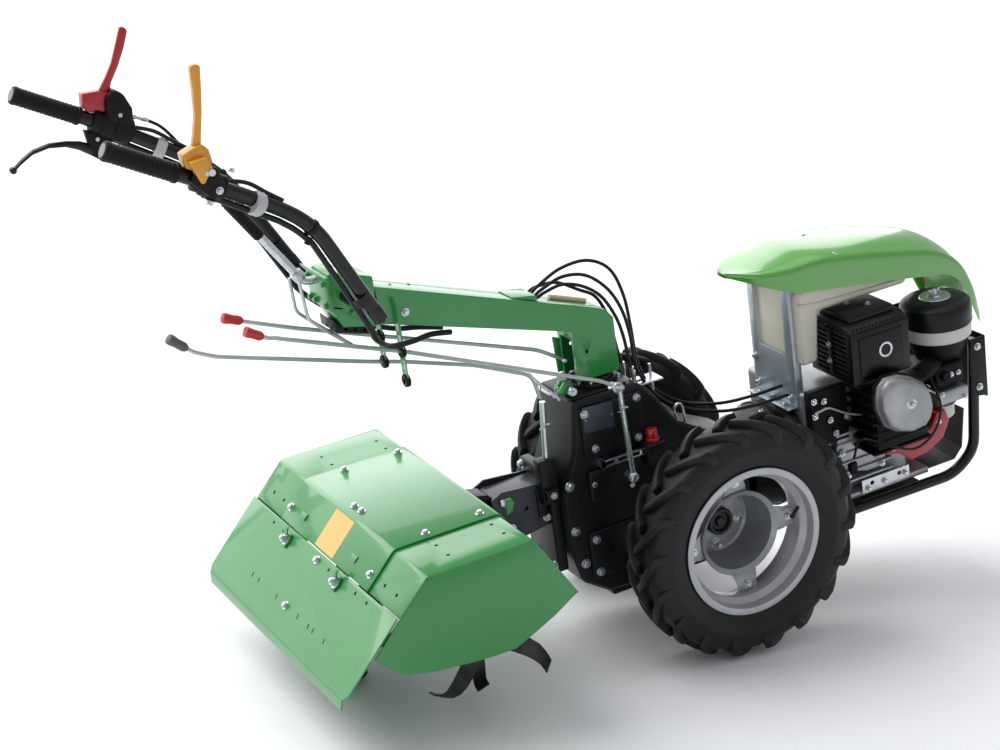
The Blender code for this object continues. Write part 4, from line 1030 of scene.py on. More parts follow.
# ---------------------------------------------------------------- handlebar
# Two bent steel tubes in gloss black, welded to a cross tube that the column's clamp holds.
# Ribbed rubber grips are pushed on their ends.
GLOSS_BLACK = surface("gloss_black", (0.004, 0.004, 0.0044), (0.0065, 0.0065, 0.007), 0.2,
    coat=0.12, grain=200, depth=0.03, specular=0.3)
SIDE_BAR = [(-0.727, -0.21, 0.7), (-0.83, -0.24, 0.905), (-0.862, -0.245, 0.945),
    (-0.905, -0.252, 0.98), (-1.04, -0.29, 1.07), (-1.1, -0.29, 1.106)]
right = bar_along("right", SIDE_BAR, 0.0145, 28, 0.03)
left = copied(right, MIRROR)
cross = drum("cross", 0.012, 0.424, (-0.727, 0, 0.7), LEFT, 32)
ends = [turned_along("end", [(0.0, 0.0), (0.012, 0.0), (0.0155, 0.12), (0.0155, 0.9),
    (0.0145, 1.0), (0.0, 1.0)], (-0.723, side * 0.2088, 0.692), (-0.74, side * 0.2138, 0.7259)) for
    side in (-1, 1)]
clips = []
for side in (-1, 1):
    clips.append(turned_along("clip", [(0.0, 0.0), (0.016, 0.0), (0.0168, 0.2), (0.0168, 0.8),
        (0.016, 1.0), (0.0, 1.0)], (-0.842, side * 0.242, 0.92), (-0.848, side * 0.243, 0.9275)))
    clips.append(eased(drum("lug", 0.0058, 0.016, (-0.856, side * 0.242, 0.9), (-0.65, 0, -0.75),
        16), 0.0015))
fitted(joined("handlebar_tubes", [painted(p, GLOSS_BLACK) for p in [right, left, cross] + ends] +
    all_painted(clips, RUBBER_BLACK)), "handlebar", "black", "handlebar")
CAP_GREY = surface("cap_grey", (0.3, 0.3, 0.31), (0.22, 0.22, 0.23), 0.5, grain=260, depth=0.1)
profile = [(0.0, 0.0), (0.0185, 0.0), (0.0192, 0.02), (0.0192, 0.05), (0.0172, 0.06)]
for k in range(14):
    at = 0.08 + 0.06 * k
    profile += [(0.0172, at), (0.0183, at + 0.01), (0.0183, at + 0.036), (0.0172, at + 0.046)]
profile += [(0.0188, 0.93), (0.019, 0.97), (0.017, 0.995), (0.0145, 1.0), (0.0, 1.0)]
for side, sign in (("right", -1), ("left", 1)):
    start, end = (-1.0965, sign * 0.29, 1.104), (-1.222, sign * 0.29, 1.179)
    grip = painted(turned_along("grip", profile, start, end, 40), RUBBER_BLACK)
    disc = painted(drum("disc", 0.0135, 0.0012, (-1.2222, sign * 0.29, 1.1791),
        (-0.8585, 0, 0.5128), 32), CAP_GREY)
    grip = joined("grip", [grip, disc])
    grip.name = f"{side}_grip_ribbed"
    fitted(grip, "handlebar", "grip", f"{side}_grip")

# ---------------------------------------------------------------- hand controls
# Moulded housings clamped round the bars carry the yellow throttle on the right and the red stop
# lever on the left. The clutch lever is a black blade under the left grip.
YELLOW = surface("lever_yellow", (0.72, 0.33, 0.02), (0.66, 0.29, 0.015), 0.34, coat=0.3,
    grain=220, depth=0.05)
LEVER_RED = surface("lever_red", (0.42, 0.01, 0.014), (0.36, 0.008, 0.01), 0.34, coat=0.3,
    grain=220, depth=0.05)
ALONG = Vector((-0.8585, 0, 0.5128))


def housing(sign, blocks):
    """Rounded clamp blocks on the bar: (start, length, radius) along it, seen from the side."""
    made = []
    for start, reach, radius in blocks:
        begin = Vector((-1.04, sign * 0.29, 1.07)) + ALONG * start
        made.append(painted(turned_along("clamp", [(0.0, 0.0), (radius * 0.86, 0.0), (radius, 0.1),
            (radius, 0.9), (radius * 0.86, 1.0), (0.0, 1.0)], begin, begin + ALONG * reach, 40),
            RUBBER_BLACK))
    return made


def lever_of(outline, low, high, ease, tone):
    """A moulded lever's outline with rounded edges, in its colour."""
    return painted(eased(slab("lever", outline, low, high), ease, 3, 40), tone)


pieces = housing(-1, [(-0.028, 0.026, 0.0235), (0.0, 0.018, 0.026), (0.0205, 0.014, 0.0225)])
cheek = eased(slab("cheek", [(-1.083, 1.088), (-1.06, 1.118), (-1.03, 1.104), (-1.02, 1.066),
    (-1.05, 1.05)], -0.32, -0.305), 0.004, 3)
pieces.append(painted(cheek, RUBBER_BLACK))
for x, z in ((-1.052, 1.1), (-1.034, 1.062)):
    pieces.append(bolt_at((x, -0.32, z), RIGHT, 0.009))
pieces.append(bolt_at((-1.045, -0.29, 1.04), (-0.51, 0, -0.86), 0.012))
pieces.append(bolt_at((-1.0, -0.3, 1.085), (0.51, 0, 0.86), 0.01))
fitted(joined("throttle_housing", pieces), "handlebar", "black", "throttle_base")
blade = lever_of([(-1.046, 1.14), (-1.041, 1.165), (-1.033, 1.2), (-1.026, 1.24), (-1.02, 1.284),
    (-1.024, 1.289), (-1.036, 1.29), (-1.04, 1.284), (-1.042, 1.243), (-1.046, 1.2),
    (-1.055, 1.167), (-1.064, 1.14)], -0.299, -0.283, 0.005, YELLOW)
foot = lever_of([(-1.086, 1.138), (-1.083, 1.112), (-1.072, 1.108), (-1.04, 1.1), (-1.032, 1.114),
    (-1.035, 1.137), (-1.046, 1.149), (-1.064, 1.146)], -0.307, -0.276, 0.003, YELLOW)
skirt = lever_of([(-1.08, 1.126), (-1.066, 1.084), (-1.06, 1.082), (-1.04, 1.108),
    (-1.048, 1.128)], -0.326, -0.306, 0.0025, YELLOW)
pivot = painted(drum("pivot", 0.0065, 0.004, (-1.044, -0.327, 1.1), LEFT, 24), ZINC)
fitted(joined("throttle_handle", [blade, foot, skirt, pivot]), "handlebar", "yellow",
    "throttle_lever")
pieces = housing(1, [(-0.046, 0.04, 0.029), (-0.008, 0.03, 0.027), (0.02, 0.02, 0.0235)])
shell = eased(slab("shell", [(-1.05, 1.046), (-1.022, 1.03), (-0.994, 1.066), (-0.99, 1.098),
    (-1.004, 1.134), (-1.026, 1.146), (-1.044, 1.128)], 0.266, 0.314), 0.01, 4)
perch = eased(slab("perch", [(-1.094, 1.076), (-1.088, 1.02), (-1.062, 0.998), (-1.046, 1.006),
    (-1.04, 1.052)], 0.28, 0.3), 0.004, 3)
pieces += [painted(shell, RUBBER_BLACK), painted(perch, RUBBER_BLACK)]
for x, z in ((-1.068, 1.02), (-1.072, 1.052), (-1.02, 1.092)):
    pieces.append(painted(drum("screw", 0.0042, 0.003, (x, 0.279 if x < -1.05 else 0.2655, z),
        (0, 1, 0), 16), ZINC))
fitted(joined("stop_housing", pieces), "handlebar", "black", "stop_base")
blade = lever_of([(-1.027, 1.13), (-1.019, 1.155), (-0.999, 1.183), (-0.98, 1.216),
    (-0.965, 1.249), (-0.969, 1.258), (-0.979, 1.262), (-0.995, 1.227), (-1.011, 1.193),
    (-1.03, 1.166), (-1.048, 1.144)], 0.285, 0.299, 0.0045, LEVER_RED)
foot = lever_of([(-1.085, 1.149), (-1.05, 1.147), (-1.03, 1.138), (-1.031, 1.104), (-1.052, 1.104),
    (-1.06, 1.11), (-1.079, 1.108), (-1.088, 1.122)], 0.278, 0.306, 0.0025, LEVER_RED)
fitted(joined("stop_handle", [blade, foot]), "handlebar", "red", "stop_lever")
rings = []
for x, z, deep, wide in ((-1.058, 1.01, 0.01, 0.009), (-1.084, 1.03, 0.011, 0.009),
        (-1.108, 1.046, 0.009, 0.009), (-1.135, 1.056, 0.0062, 0.0095),
        (-1.17, 1.061, 0.0052, 0.01), (-1.205, 1.056, 0.0055, 0.0095),
        (-1.232, 1.042, 0.0058, 0.009), (-1.249, 1.03, 0.006, 0.0085)):
    rings.append([(x + deep * 0.35 * cos(a), 0.29 + wide * sin(a), z + deep * cos(a)) for a in
        [2 * pi * k / 12 for k in range(12)]])
blade = eased(lofted("blade", rings), 0.002, 2, 50)
tip = drum("tip", 0.0072, 0.016, (-1.25, 0.29, 1.03), LEFT, 20)
fitted(joined("clutch_blade", [painted(blade, GLOSS_BLACK),
    painted(eased(tip, 0.003), GLOSS_BLACK)]), "handlebar", "black", "clutch_lever")

# ---------------------------------------------------------------- looms and cables
# Black cables in casings run from the controls down along the bars and under the arm, and in loops
# from the arm to the gearbox and the engine. Pale tape binds them.
CASING = surface("cable_casing", (0.0045, 0.0045, 0.0045), (0.008, 0.008, 0.008), 0.36, grain=300,
    depth=0.05, specular=0.3)
TAPE = surface("pale_tape", (0.55, 0.56, 0.57), (0.42, 0.43, 0.44), 0.42, grain=260, depth=0.3)


def flowing(points, steps=6):
    """A smooth line through the given points of a cable's route."""
    points = [Vector(p) for p in points]
    ends = [2 * points[0] - points[1], *points, 2 * points[-1] - points[-2]]
    route = []
    for a, b, c, d in zip(ends, ends[1:], ends[2:], ends[3:]):
        for t in [i / steps for i in range(steps)]:
            route.append(0.5 * (2 * b + t * (c - a) + t * t * (2 * a - 5 * b + 4 * c - d) + t ** 3
                * (3 * b - a - 3 * c + d)))
    return [*route, points[-1]]


def along_bar(sign, gap):
    """Points beside a handlebar tube, below it for a positive gap, from its grip end down."""
    route = [Vector((p.x, -sign * p.y, p.z)) for p in bent(SIDE_BAR, 0.03)[::-1]]
    points = []
    for before, here, after in zip(route, route[1:], route[2:]):
        under = (after - before).normalized().cross(Vector((0, 1, 0)))
        points.append(here + under * (gap if under.z < 0 else -gap))
    return points


for side, sign in (("right", -1), ("left", 1)):
    tail = [(-0.749, sign * 0.206, 0.684), (-0.738, sign * 0.192, 0.658),
        (-0.712, sign * 0.16, 0.628), (-0.668, sign * 0.105, 0.592), (-0.6, sign * 0.052, 0.568),
        (-0.55, sign * 0.03, 0.562), (-0.5, sign * 0.02, 0.55)]
    below = along_bar(sign, 0.0225)
    pieces = [painted(bar_along("loom", flowing([*below[2::3], *tail], 5), 0.006, 20), CASING)]
    pieces.append(painted(bar_along("wire", flowing([(-1.0, sign * 0.272, 1.062),
        (-0.96, sign * 0.262, 1.045), (-0.925, sign * 0.256, 1.016), (-0.895, sign * 0.25, 0.992)],
        6), 0.0042, 16), CASING))
    pieces.append(painted(turned_along("wrap", [(0.0, 0.0), (0.0215, 0.0), (0.0235, 0.2),
        (0.0222, 0.45), (0.0238, 0.7), (0.0215, 1.0), (0.0, 1.0)], (-0.944, sign * 0.264, 0.999),
        (-0.961, sign * 0.269, 1.0103)), TAPE))
    pieces.append(painted(turned_along("band", [(0.0, 0.0), (0.0205, 0.0), (0.021, 0.5),
        (0.0205, 1.0), (0.0, 1.0)], (-0.756, sign * 0.214, 0.742), (-0.766, sign * 0.217, 0.762)),
        CASING))
    if sign > 0:
        pieces.append(painted(turned_along("adjuster", [(0.0, 0.0), (0.005, 0.0), (0.005, 0.25),
            (0.0036, 0.3), (0.0036, 0.6), (0.0052, 0.65), (0.0052, 0.85), (0.003, 1.0),
            (0.0, 1.0)], (-0.992, 0.29, 1.079), (-0.958, 0.288, 1.062)), ZINC))
        pieces.append(painted(bar_along("arc", flowing([(-0.962, 0.289, 1.064),
            (-0.936, 0.286, 1.044), (-0.914, 0.276, 1.012), (-0.9, 0.264, 0.982)], 6), 0.0034, 14),
            CASING))
    loom = joined("loom", pieces)
    loom.name = f"{side}_loom_bound"
    fitted(loom, ("handlebar", "column"), "cable", f"{side}_loom",
        bends=[(-0.749, sign * 0.206, 0.684), (-0.6, sign * 0.052, 0.568)])
LOOPS = {"clutch_cable": [(-0.292, 0.012, 0.566), (-0.27, 0.012, 0.58), (-0.215, 0.011, 0.603),
    (-0.15, 0.01, 0.604), (-0.098, 0.01, 0.57), (-0.072, 0.01, 0.505), (-0.064, 0.008, 0.43),
    (-0.062, 0.004, 0.36), (-0.052, 0.0, 0.31), (-0.02, -0.004, 0.262), (0.04, -0.012, 0.22),
    (0.12, -0.02, 0.196), (0.2, -0.026, 0.19), (0.283, -0.03, 0.192)], "throttle_cable":
    [(-0.292, -0.004, 0.566), (-0.27, -0.004, 0.576), (-0.22, -0.005, 0.59),
    (-0.165, -0.006, 0.578), (-0.118, -0.007, 0.535), (-0.09, -0.008, 0.48), (-0.078, -0.01, 0.42),
    (-0.076, -0.014, 0.36), (-0.068, -0.018, 0.32), (-0.03, -0.022, 0.258), (0.036, -0.03, 0.212),
    (0.118, -0.04, 0.184), (0.2, -0.048, 0.176), (0.283, -0.052, 0.176)], "stop_wire":
    [(-0.292, -0.018, 0.566), (-0.27, -0.018, 0.573), (-0.228, -0.018, 0.578),
    (-0.18, -0.019, 0.56), (-0.14, -0.02, 0.525), (-0.112, -0.021, 0.47), (-0.1, -0.022, 0.42),
    (-0.096, -0.024, 0.375), (-0.092, -0.026, 0.338)], "brake_cable": [(-0.292, 0.026, 0.566),
    (-0.27, 0.026, 0.573), (-0.222, 0.025, 0.57), (-0.172, 0.024, 0.54), (-0.135, 0.022, 0.515),
    (-0.113, 0.02, 0.47), (-0.104, 0.018, 0.42), (-0.098, 0.016, 0.375), (-0.092, 0.014, 0.338)],}
for name, points in LOOPS.items():
    pieces = [painted(bar_along("casing", flowing(points), 0.0038, 16), CASING)]
    if name in ("stop_wire", "brake_cable"):
        x, y, z = points[-1]
        pieces.append(painted(turned_along("ferrule", [(0.0, 0.0), (0.0052, 0.0), (0.0052, 0.5),
            (0.0036, 0.55), (0.0036, 1.0), (0.0, 1.0)], (x, y, z + 0.012),
            (x + 0.002, y, z - 0.026)), ZINC))
    cable = joined("cable", pieces)
    cable.name = f"{name}_casing"
    held, free = ((-0.112, 0, 0.47), points[-1]) if len(points) < 10 else (points[5], points[8])
    fitted(cable, ("column", "chassis"), "cable", name, bends=[held, free])

# ---------------------------------------------------------------- cable stays on the gearbox
# A slotted zinc fork and a wire loop on the gearbox's sloping top hold the cables.
fork = drilled(eased(box_of("fork", (-0.092, -0.03, 0.3), (-0.018, 0.018, 0.304)), 0.0012),
    [box_of("slot", (-0.1, -0.012, 0.29), (-0.05, 0.0, 0.31))])
leg = eased(box_of("leg", (-0.04, -0.012, 0.235), (-0.034, 0.002, 0.302)), 0.001)
loop = bar_along("loop", flowing([(0.01, -0.05, 0.17), (-0.006, -0.05, 0.205),
    (-0.012, -0.05, 0.232), (0.0, -0.05, 0.242), (0.01, -0.05, 0.228), (0.014, -0.05, 0.18)], 6),
    0.003, 14)
pins = [drum("pin", 0.0032, 0.06, (x, y, 0.3), steps=14) for x, y in
    ((-0.076, -0.006), (-0.03, 0.006))]
stays = all_painted((fork, leg, loop, *pins), ZINC) + [bolt_at((-0.037, -0.012, 0.262), RIGHT, 0.009)]
fitted(joined("cable_stays", stays), "chassis", "silver")

# ---------------------------------------------------------------- engine
# A single-cylinder petrol engine: finned alloy crankcase and head, a black louvred muffler
# guard, a bare alloy valve cover, a red fan cowl, and an alloy foot bolted to the base.
ALLOY = surface("cast_alloy", (0.42, 0.43, 0.44), (0.3, 0.31, 0.32), 0.38, metallic=0.75,
    grain=180, depth=0.3, patches=14, dust=0.05)
SATIN_BLACK = surface("satin_black", (0.0035, 0.0035, 0.0038), (0.006, 0.006, 0.0065), 0.28,
    grain=220, depth=0.1, specular=0.26)
COWL_RED = surface("cowl_red", (0.4, 0.01, 0.022), (0.32, 0.008, 0.016), 0.3, coat=0.4, grain=200,
    depth=0.04)
MATT_BLACK = surface("matt_black", (0.0035, 0.0035, 0.004), (0.006, 0.006, 0.0065), 0.48,
    grain=260, depth=0.16, specular=0.16)
crank = [eased(box_of("crank", (0.29, -0.105, -0.08), (0.56, 0.13, 0.19)), 0.012, 3)]
for k in range(6):
    z = -0.05 + 0.024 * k
    crank.append(eased(box_of("fin", (0.352, -0.129, z), (0.5, -0.1, z + 0.006)), 0.002))
crank.append(eased(slab("boss", [(0.362, 0.09), (0.352, 0.04), (0.372, -0.02), (0.43, -0.04),
    (0.486, -0.04), (0.492, 0.03), (0.44, 0.07)], -0.124, -0.1), 0.006, 3))
all_painted(crank, ALLOY)
# Matt black blocks on the crankcase's near side: the governor brackets, and painted shade where the
# linkages' shadows fall on the upper crankcase.
dark = [eased(box_of("dark", low, high), 0.004, 3) for low, high in
    (((0.292, -0.125, 0.06), (0.392, -0.1, 0.196)), ((0.3, -0.13, -0.072), (0.346, -0.1, 0.05)),
    ((0.38, -0.135, -0.03), (0.4, -0.115, 0.0)))]
crank += all_painted(dark, MATT_BLACK)
for x, z in ((0.3, 0.176), (0.326, 0.17), (0.3, 0.14), (0.34, 0.12), (0.384, 0.116),
        (0.352, 0.084), (0.364, 0.03), (0.47, -0.028), (0.376, -0.03)):
    crank.append(bolt_at((x, -0.129, z), RIGHT, 0.0095))
crank.append(painted(bar_along("link", [(0.296, -0.135, 0.15), (0.33, -0.14, 0.158),
    (0.378, -0.14, 0.128), (0.43, -0.15, 0.11)], 0.0028, 12, 0.01), ROD_ZINC))
crank.append(painted(bar_along("lead", flowing([(0.38, -0.15, 0.02), (0.378, -0.19, 0.08),
    (0.42, -0.245, 0.068), (0.48, -0.248, 0.044), (0.535, -0.246, 0.066), (0.562, -0.24, 0.12),
    (0.575, -0.19, 0.17)], 6), 0.003, 12), CASING))
fitted(joined("crankcase", crank), "chassis", "alloy", "engine_block")
fins = [eased(box_of("core", (0.412, -0.203, 0.04), (0.55, -0.1055, 0.186)), 0.006, 2)]
for k in range(7):
    z = 0.034 + 0.024 * k
    fins.append(eased(box_of("fin", (0.4, -0.205, z), (0.56, -0.1055, z + 0.006)), 0.0015))
cover_line = [(0.404, 0.152), (0.423, 0.106), (0.452, 0.085), (0.486, 0.074), (0.526, 0.078),
    (0.543, 0.096), (0.551, 0.124), (0.546, 0.152), (0.534, 0.18), (0.5, 0.204), (0.466, 0.219),
    (0.43, 0.22), (0.412, 0.204), (0.405, 0.18)]
middle_of = Vector((0.478, 0.148))
rim_line = [tuple(middle_of + (Vector(p) - middle_of) * 1.07) for p in cover_line]
fins.append(slab("gasket", rim_line, -0.212, -0.204, "Y", 0.002))
fitted(joined("head_fins", all_painted(fins, MATT_BLACK)), "chassis", "black", "cylinder_head")
rings = []
for scale, y in ((1.0, -0.212), (1.0, -0.217), (0.975, -0.22), (0.955, -0.221), (0.94, -0.229),
        (0.9, -0.236), (0.84, -0.2385), (0.7, -0.24), (0.3, -0.2405)):
    rings.append([(p.x, y, p.y) for p in [middle_of + (Vector(q) - middle_of) * scale for q in
        cover_line]])
dish = painted(lofted("dish", rings), ALLOY)
dish = [dish, painted(spun("seat", [(0.0, -0.24), (0.0, -0.2425), (0.011, -0.2425),
    (0.0135, -0.241), (0.015, -0.2395), (0.0, -0.239)], (0.484, 0, 0.15), "Y", 36), ZINC),
    bolt_at((0.484, -0.2425, 0.15), RIGHT, 0.011)]
fitted(joined("rocker_cover", dish), "chassis", "alloy", "valve_cover", smooth=50)
guard = slab("guard", [(-0.186, 0.207), (-0.022, 0.207), (-0.022, 0.33), (-0.048, 0.345),
    (-0.158, 0.345), (-0.186, 0.33)], 0.372, 0.53, "X", 0.005)
cuts = []
for column in (-0.166, -0.102):
    for k in range(9):
        z = 0.222 + 0.0115 * k
        cuts.append(box_of("slot", (0.36, column, z), (0.377, column + 0.052, z + 0.0052)))
for k in range(13):
    y = -0.17 + 0.0105 * k
    cuts += [drum("hole", 0.0026, 0.016, (0.372, y, z), (1, 0, 0), 10) for z in (0.3275, 0.3345)]
    cuts.append(drum("hole", 0.0024, 0.014, (0.386 + 0.0105 * k, -0.178, 0.335), (0, -0.7, 0.7),
        10))
guard = drilled(guard, cuts)
raised = eased(box_of("raised", (0.388, -0.158, 0.34), (0.514, -0.04, 0.36)), 0.007, 3)
panel = eased(box_of("panel", (0.392, -0.1895, 0.222), (0.512, -0.184, 0.316)), 0.003, 3)
tongue = eased(box_of("tongue", (0.368, -0.112, 0.215), (0.374, -0.102, 0.33)), 0.0015)
ring = spun("ring", [(0.013, -0.189), (0.013, -0.1915), (0.018, -0.1915), (0.018, -0.189)],
    (0.46, 0, 0.274), "Y", 40)
pieces = all_painted((guard, raised, panel, tongue), SATIN_BLACK)
pieces += [painted(eased(ring, 0.0006), ZINC)]
for x, y in ((0.44, -0.08), (0.47, -0.12)):
    pieces.append(bolt_at((x, y, 0.36), UP, 0.009))
for z in (0.25, 0.29):
    pieces.append(bolt_at((0.368, -0.107, z), REAR, 0.009))
fitted(joined("muffler_guard", pieces), "chassis", "black", "muffler")
cowl = spun("cowl", [(0.0, 0.5605), (0.114, 0.5605), (0.119, 0.568), (0.119, 0.6), (0.108, 0.636),
    (0.07, 0.65), (0.0, 0.65)], (0, 0, 0.045), "X", 56)
skirt = eased(slab("skirt", [(0.452, 0.046), (0.45, 0.012), (0.492, 0.004), (0.52, -0.022),
    (0.566, -0.016), (0.612, 0.006), (0.632, 0.044), (0.62, 0.074), (0.596, 0.072), (0.58, 0.04),
    (0.54, 0.026), (0.5, 0.04), (0.488, 0.048)], -0.176, -0.115), 0.004, 3)
starter = spun("starter", [(0.0, 0.648), (0.07, 0.648), (0.072, 0.652), (0.064, 0.6545),
    (0.0, 0.6548)], (0, 0, 0.045), "X", 40)
pieces = [painted(cowl, COWL_RED), painted(skirt, COWL_RED), painted(starter, MATT_BLACK),
    bolt_at((0.47, -0.176, 0.026), RIGHT, 0.01), bolt_at((0.6, -0.176, 0.05), RIGHT, 0.009)]
fitted(joined("fan_cowl", pieces), "chassis", "red", "fan_shroud")
foot = drilled(eased(box_of("foot", (0.408, -0.133, -0.088), (0.541, -0.129, -0.053)), 0.001),
    [drum("hole", 0.0055, 0.03, (x, -0.131, -0.066), LEFT, 20) for x in (0.436, 0.512)])
pieces = [painted(from_cad("base", "engine_base", 0.002), ALLOY), painted(foot, ZINC)]
for x, z in ((0.424, -0.076), (0.47, -0.072), (0.528, -0.07)):
    pieces.append(bolt_at((x, -0.133, z), RIGHT, 0.011))
fitted(joined("engine_foot", pieces), "chassis", "silver", "engine_base")

# ---------------------------------------------------------------- air cleaner and carburettor
# An oil-bath cleaner: a black pressed drum on a pale bowl, held by a wing nut. It stands on the
# carburettor's black elbow, beside the alloy body and its clear float bowl.
BOWL_PALE = surface("pale_bowl", (0.62, 0.61, 0.58), (0.54, 0.53, 0.5), 0.42, grain=220,
    depth=0.05)
CENTRE = (0.664, -0.105, 0)
drum_top = spun("top", [(0.0, 0.259), (0.078, 0.259), (0.0815, 0.261), (0.082, 0.265),
    (0.0808, 0.273), (0.082, 0.28), (0.082, 0.3), (0.0795, 0.308), (0.07, 0.315), (0.042, 0.318),
    (0.0, 0.318)], CENTRE, "Z", 64)
bowl = spun("bowl", [(0.0, 0.227), (0.0745, 0.227), (0.078, 0.23), (0.0785, 0.2585),
    (0.0, 0.2585)], CENTRE, "Z", 64)
under = spun("under", [(0.0, 0.176), (0.052, 0.176), (0.074, 0.2265), (0.0, 0.2265)], CENTRE, "Z",
    48)
disc = spun("disc", [(0.0, 0.318), (0.035, 0.318), (0.0365, 0.3195), (0.035, 0.3215),
    (0.016, 0.3215), (0.012, 0.325), (0.006, 0.326), (0.004, 0.338), (0.0, 0.338)], CENTRE, "Z",
    40)
wings = [eased(slab("wing", [(0.664 + s * 0.003, 0.327), (0.664 + s * 0.015, 0.332),
    (0.664 + s * 0.016, 0.338), (0.664 + s * 0.011, 0.3385), (0.664 + s * 0.003, 0.332)], -0.1063,
    -0.1037), 0.0008) for s in (-1, 1)]
pieces = [painted(drum_top, SATIN_BLACK), painted(bowl, BOWL_PALE), painted(under, MATT_BLACK)]
pieces += all_painted([disc, *wings], ZINC)
fitted(joined("cleaner_drum", pieces), "chassis", "black", "air_cleaner")
elbow = bar_along("elbow", flowing([(0.56, -0.13, 0.15), (0.575, -0.15, 0.17),
    (0.595, -0.155, 0.178), (0.622, -0.14, 0.172)], 6), 0.023, 28)
body = eased(box_of("body", (0.606, -0.17, 0.124), (0.684, -0.108, 0.176)), 0.005, 3)
throat = eased(box_of("throat", (0.603, -0.178, 0.084), (0.688, -0.12, 0.116)), 0.005, 3)
float_bowl = spun("float_bowl", [(0.0, 0.046), (0.018, 0.046), (0.023, 0.052), (0.024, 0.078),
    (0.0, 0.078)], (0.636, -0.152, 0), "Z", 32)
knob = spun("knob", [(0.0, -0.182), (0.01, -0.182), (0.012, -0.179), (0.012, -0.17), (0.0, -0.17)],
    (0.628, 0, 0.152), "Y", 28)
neck = eased(box_of("neck", (0.612, -0.164, 0.074), (0.664, -0.134, 0.128)), 0.004, 2)
pieces = all_painted((elbow, body, knob, neck), MATT_BLACK)
pieces += [painted(throat, ALLOY), painted(float_bowl, BOWL_PALE)]
for x, z in ((0.614, 0.112), (0.678, 0.09)):
    pieces.append(bolt_at((x, -0.178, z), RIGHT, 0.008))
for x in (0.648, 0.668):
    pieces.append(bolt_at((x, -0.17, 0.15), RIGHT, 0.008))
fitted(joined("carburettor_body", pieces), "chassis", "black", "carburettor")

# ---------------------------------------------------------------- fuel tank and hood bracket
# A moulded tank in milky plastic under the hood, behind a galvanised plate with a window. The
# plate's folded edge stiffens it, and a rubber strip on its top edge carries the hood.
MILKY = surface("milky_plastic", (0.72, 0.7, 0.6), (0.64, 0.61, 0.5), 0.42, coat=0.15, grain=160,
    depth=0.06, patches=5)
tank = painted(from_cad("tank", "fuel_tank", 0.01, 4), MILKY)
seam = bar_along("seam", [(0.298, -0.1005, 0.4), (0.34, -0.101, 0.392), (0.595, -0.101, 0.384)],
    0.0022, 12, 0.01)
fitted(joined("moulded_tank", [tank, painted(seam, MILKY)]), "chassis", "tank", "fuel_tank",
    smooth=50)
GALVANISED = surface("galvanised_sheet", (0.44, 0.5, 0.54), (0.34, 0.39, 0.43), 0.34, metallic=0.7,
    grain=120, depth=0.05, patches=26)
window = [(-0.05, 0.43), (-0.05, 0.278), (-0.044, 0.272), (0.052, 0.272), (0.062, 0.282),
    (0.062, 0.43)]
plate = slab("plate", [(-0.079, 0.15), (0.085, 0.15), (0.085, 0.435), (-0.079, 0.435)], 0.286,
    0.2885, "X")
plate = eased(drilled(plate, [slab("window", window, 0.27, 0.3, "X")]), 0.0006)
edge = eased(box_of("edge", (0.286, -0.0815, 0.15), (0.306, -0.079, 0.435)), 0.0006)
foot = eased(box_of("foot", (0.262, -0.079, 0.15), (0.287, 0.085, 0.1525)), 0.0006)
top = eased(box_of("top", (0.28, -0.08, 0.4335), (0.304, 0.086, 0.44)), 0.0015)
strip = eased(box_of("strip", (0.278, -0.083, 0.44), (0.306, 0.088, 0.4475)), 0.002)
pieces = all_painted((plate, edge, foot, top), GALVANISED) + [painted(strip, RUBBER_BLACK)]
for x, y, z, facing in ((0.286, 0.07, 0.172, (-1, 0, 0)), (0.286, 0.074, 0.236, (-1, 0, 0)),
        (0.286, -0.06, 0.17, (-1, 0, 0)), (0.274, -0.05, 0.1525, (0, 0, 1)),
        (0.274, 0.05, 0.1525, (0, 0, 1))):
    pieces.append(bolt_at((x, y, z), facing, 0.011))
fitted(joined("hood_plate", pieces), "chassis", "galvanised", "hood_bracket")

# ---------------------------------------------------------------- hood
# One glossy moulded shell in a lighter green, with a pressed edge along each shoulder and a
# pointed tail, fixed down by two screws in dimples.
HOOD_GREEN = surface("hood_green", (0.062, 0.35, 0.016), (0.056, 0.325, 0.014), 0.2, coat=1.0,
    grain=60, depth=0.012, patches=2.5, wander=0.04, specular=0.9)
# Each row of SECTIONS is x, the side edge's z, the shoulder's z, the crown's z, the half width.
SECTIONS = [(0.172, 0.48, 0.485, 0.486, 0.016), (0.2, 0.47, 0.4856, 0.489, 0.056),
    (0.235, 0.456, 0.486, 0.496, 0.09), (0.29, 0.435, 0.49, 0.506, 0.112),
    (0.35, 0.426, 0.494, 0.514, 0.119), (0.43, 0.415, 0.484, 0.508, 0.122),
    (0.56, 0.393, 0.457, 0.486, 0.122), (0.65, 0.376, 0.434, 0.462, 0.12),
    (0.7, 0.364, 0.41, 0.44, 0.117), (0.742, 0.324, 0.372, 0.403, 0.112),
    (0.774, 0.252, 0.313, 0.348, 0.105), (0.796, 0.214, 0.245, 0.278, 0.094)]


def flowed(rows, steps):
    """Rows of numbers with smooth rows put between them."""
    ends = [[2 * a - b for a, b in zip(rows[0], rows[1])], *rows, [2 * a - b for a, b in
        zip(rows[-1], rows[-2])]]
    made = []
    for a, b, c, d in zip(ends, ends[1:], ends[2:], ends[3:]):
        for t in [i / steps for i in range(steps)]:
            made.append([0.5 * (2 * q + t * (r - p) + t * t * (2 * p - 5 * q + 4 * r - s) + t ** 3
                * (3 * q - p - 3 * r + s)) for p, q, r, s in zip(a, b, c, d)])
    return [*made, rows[-1]]


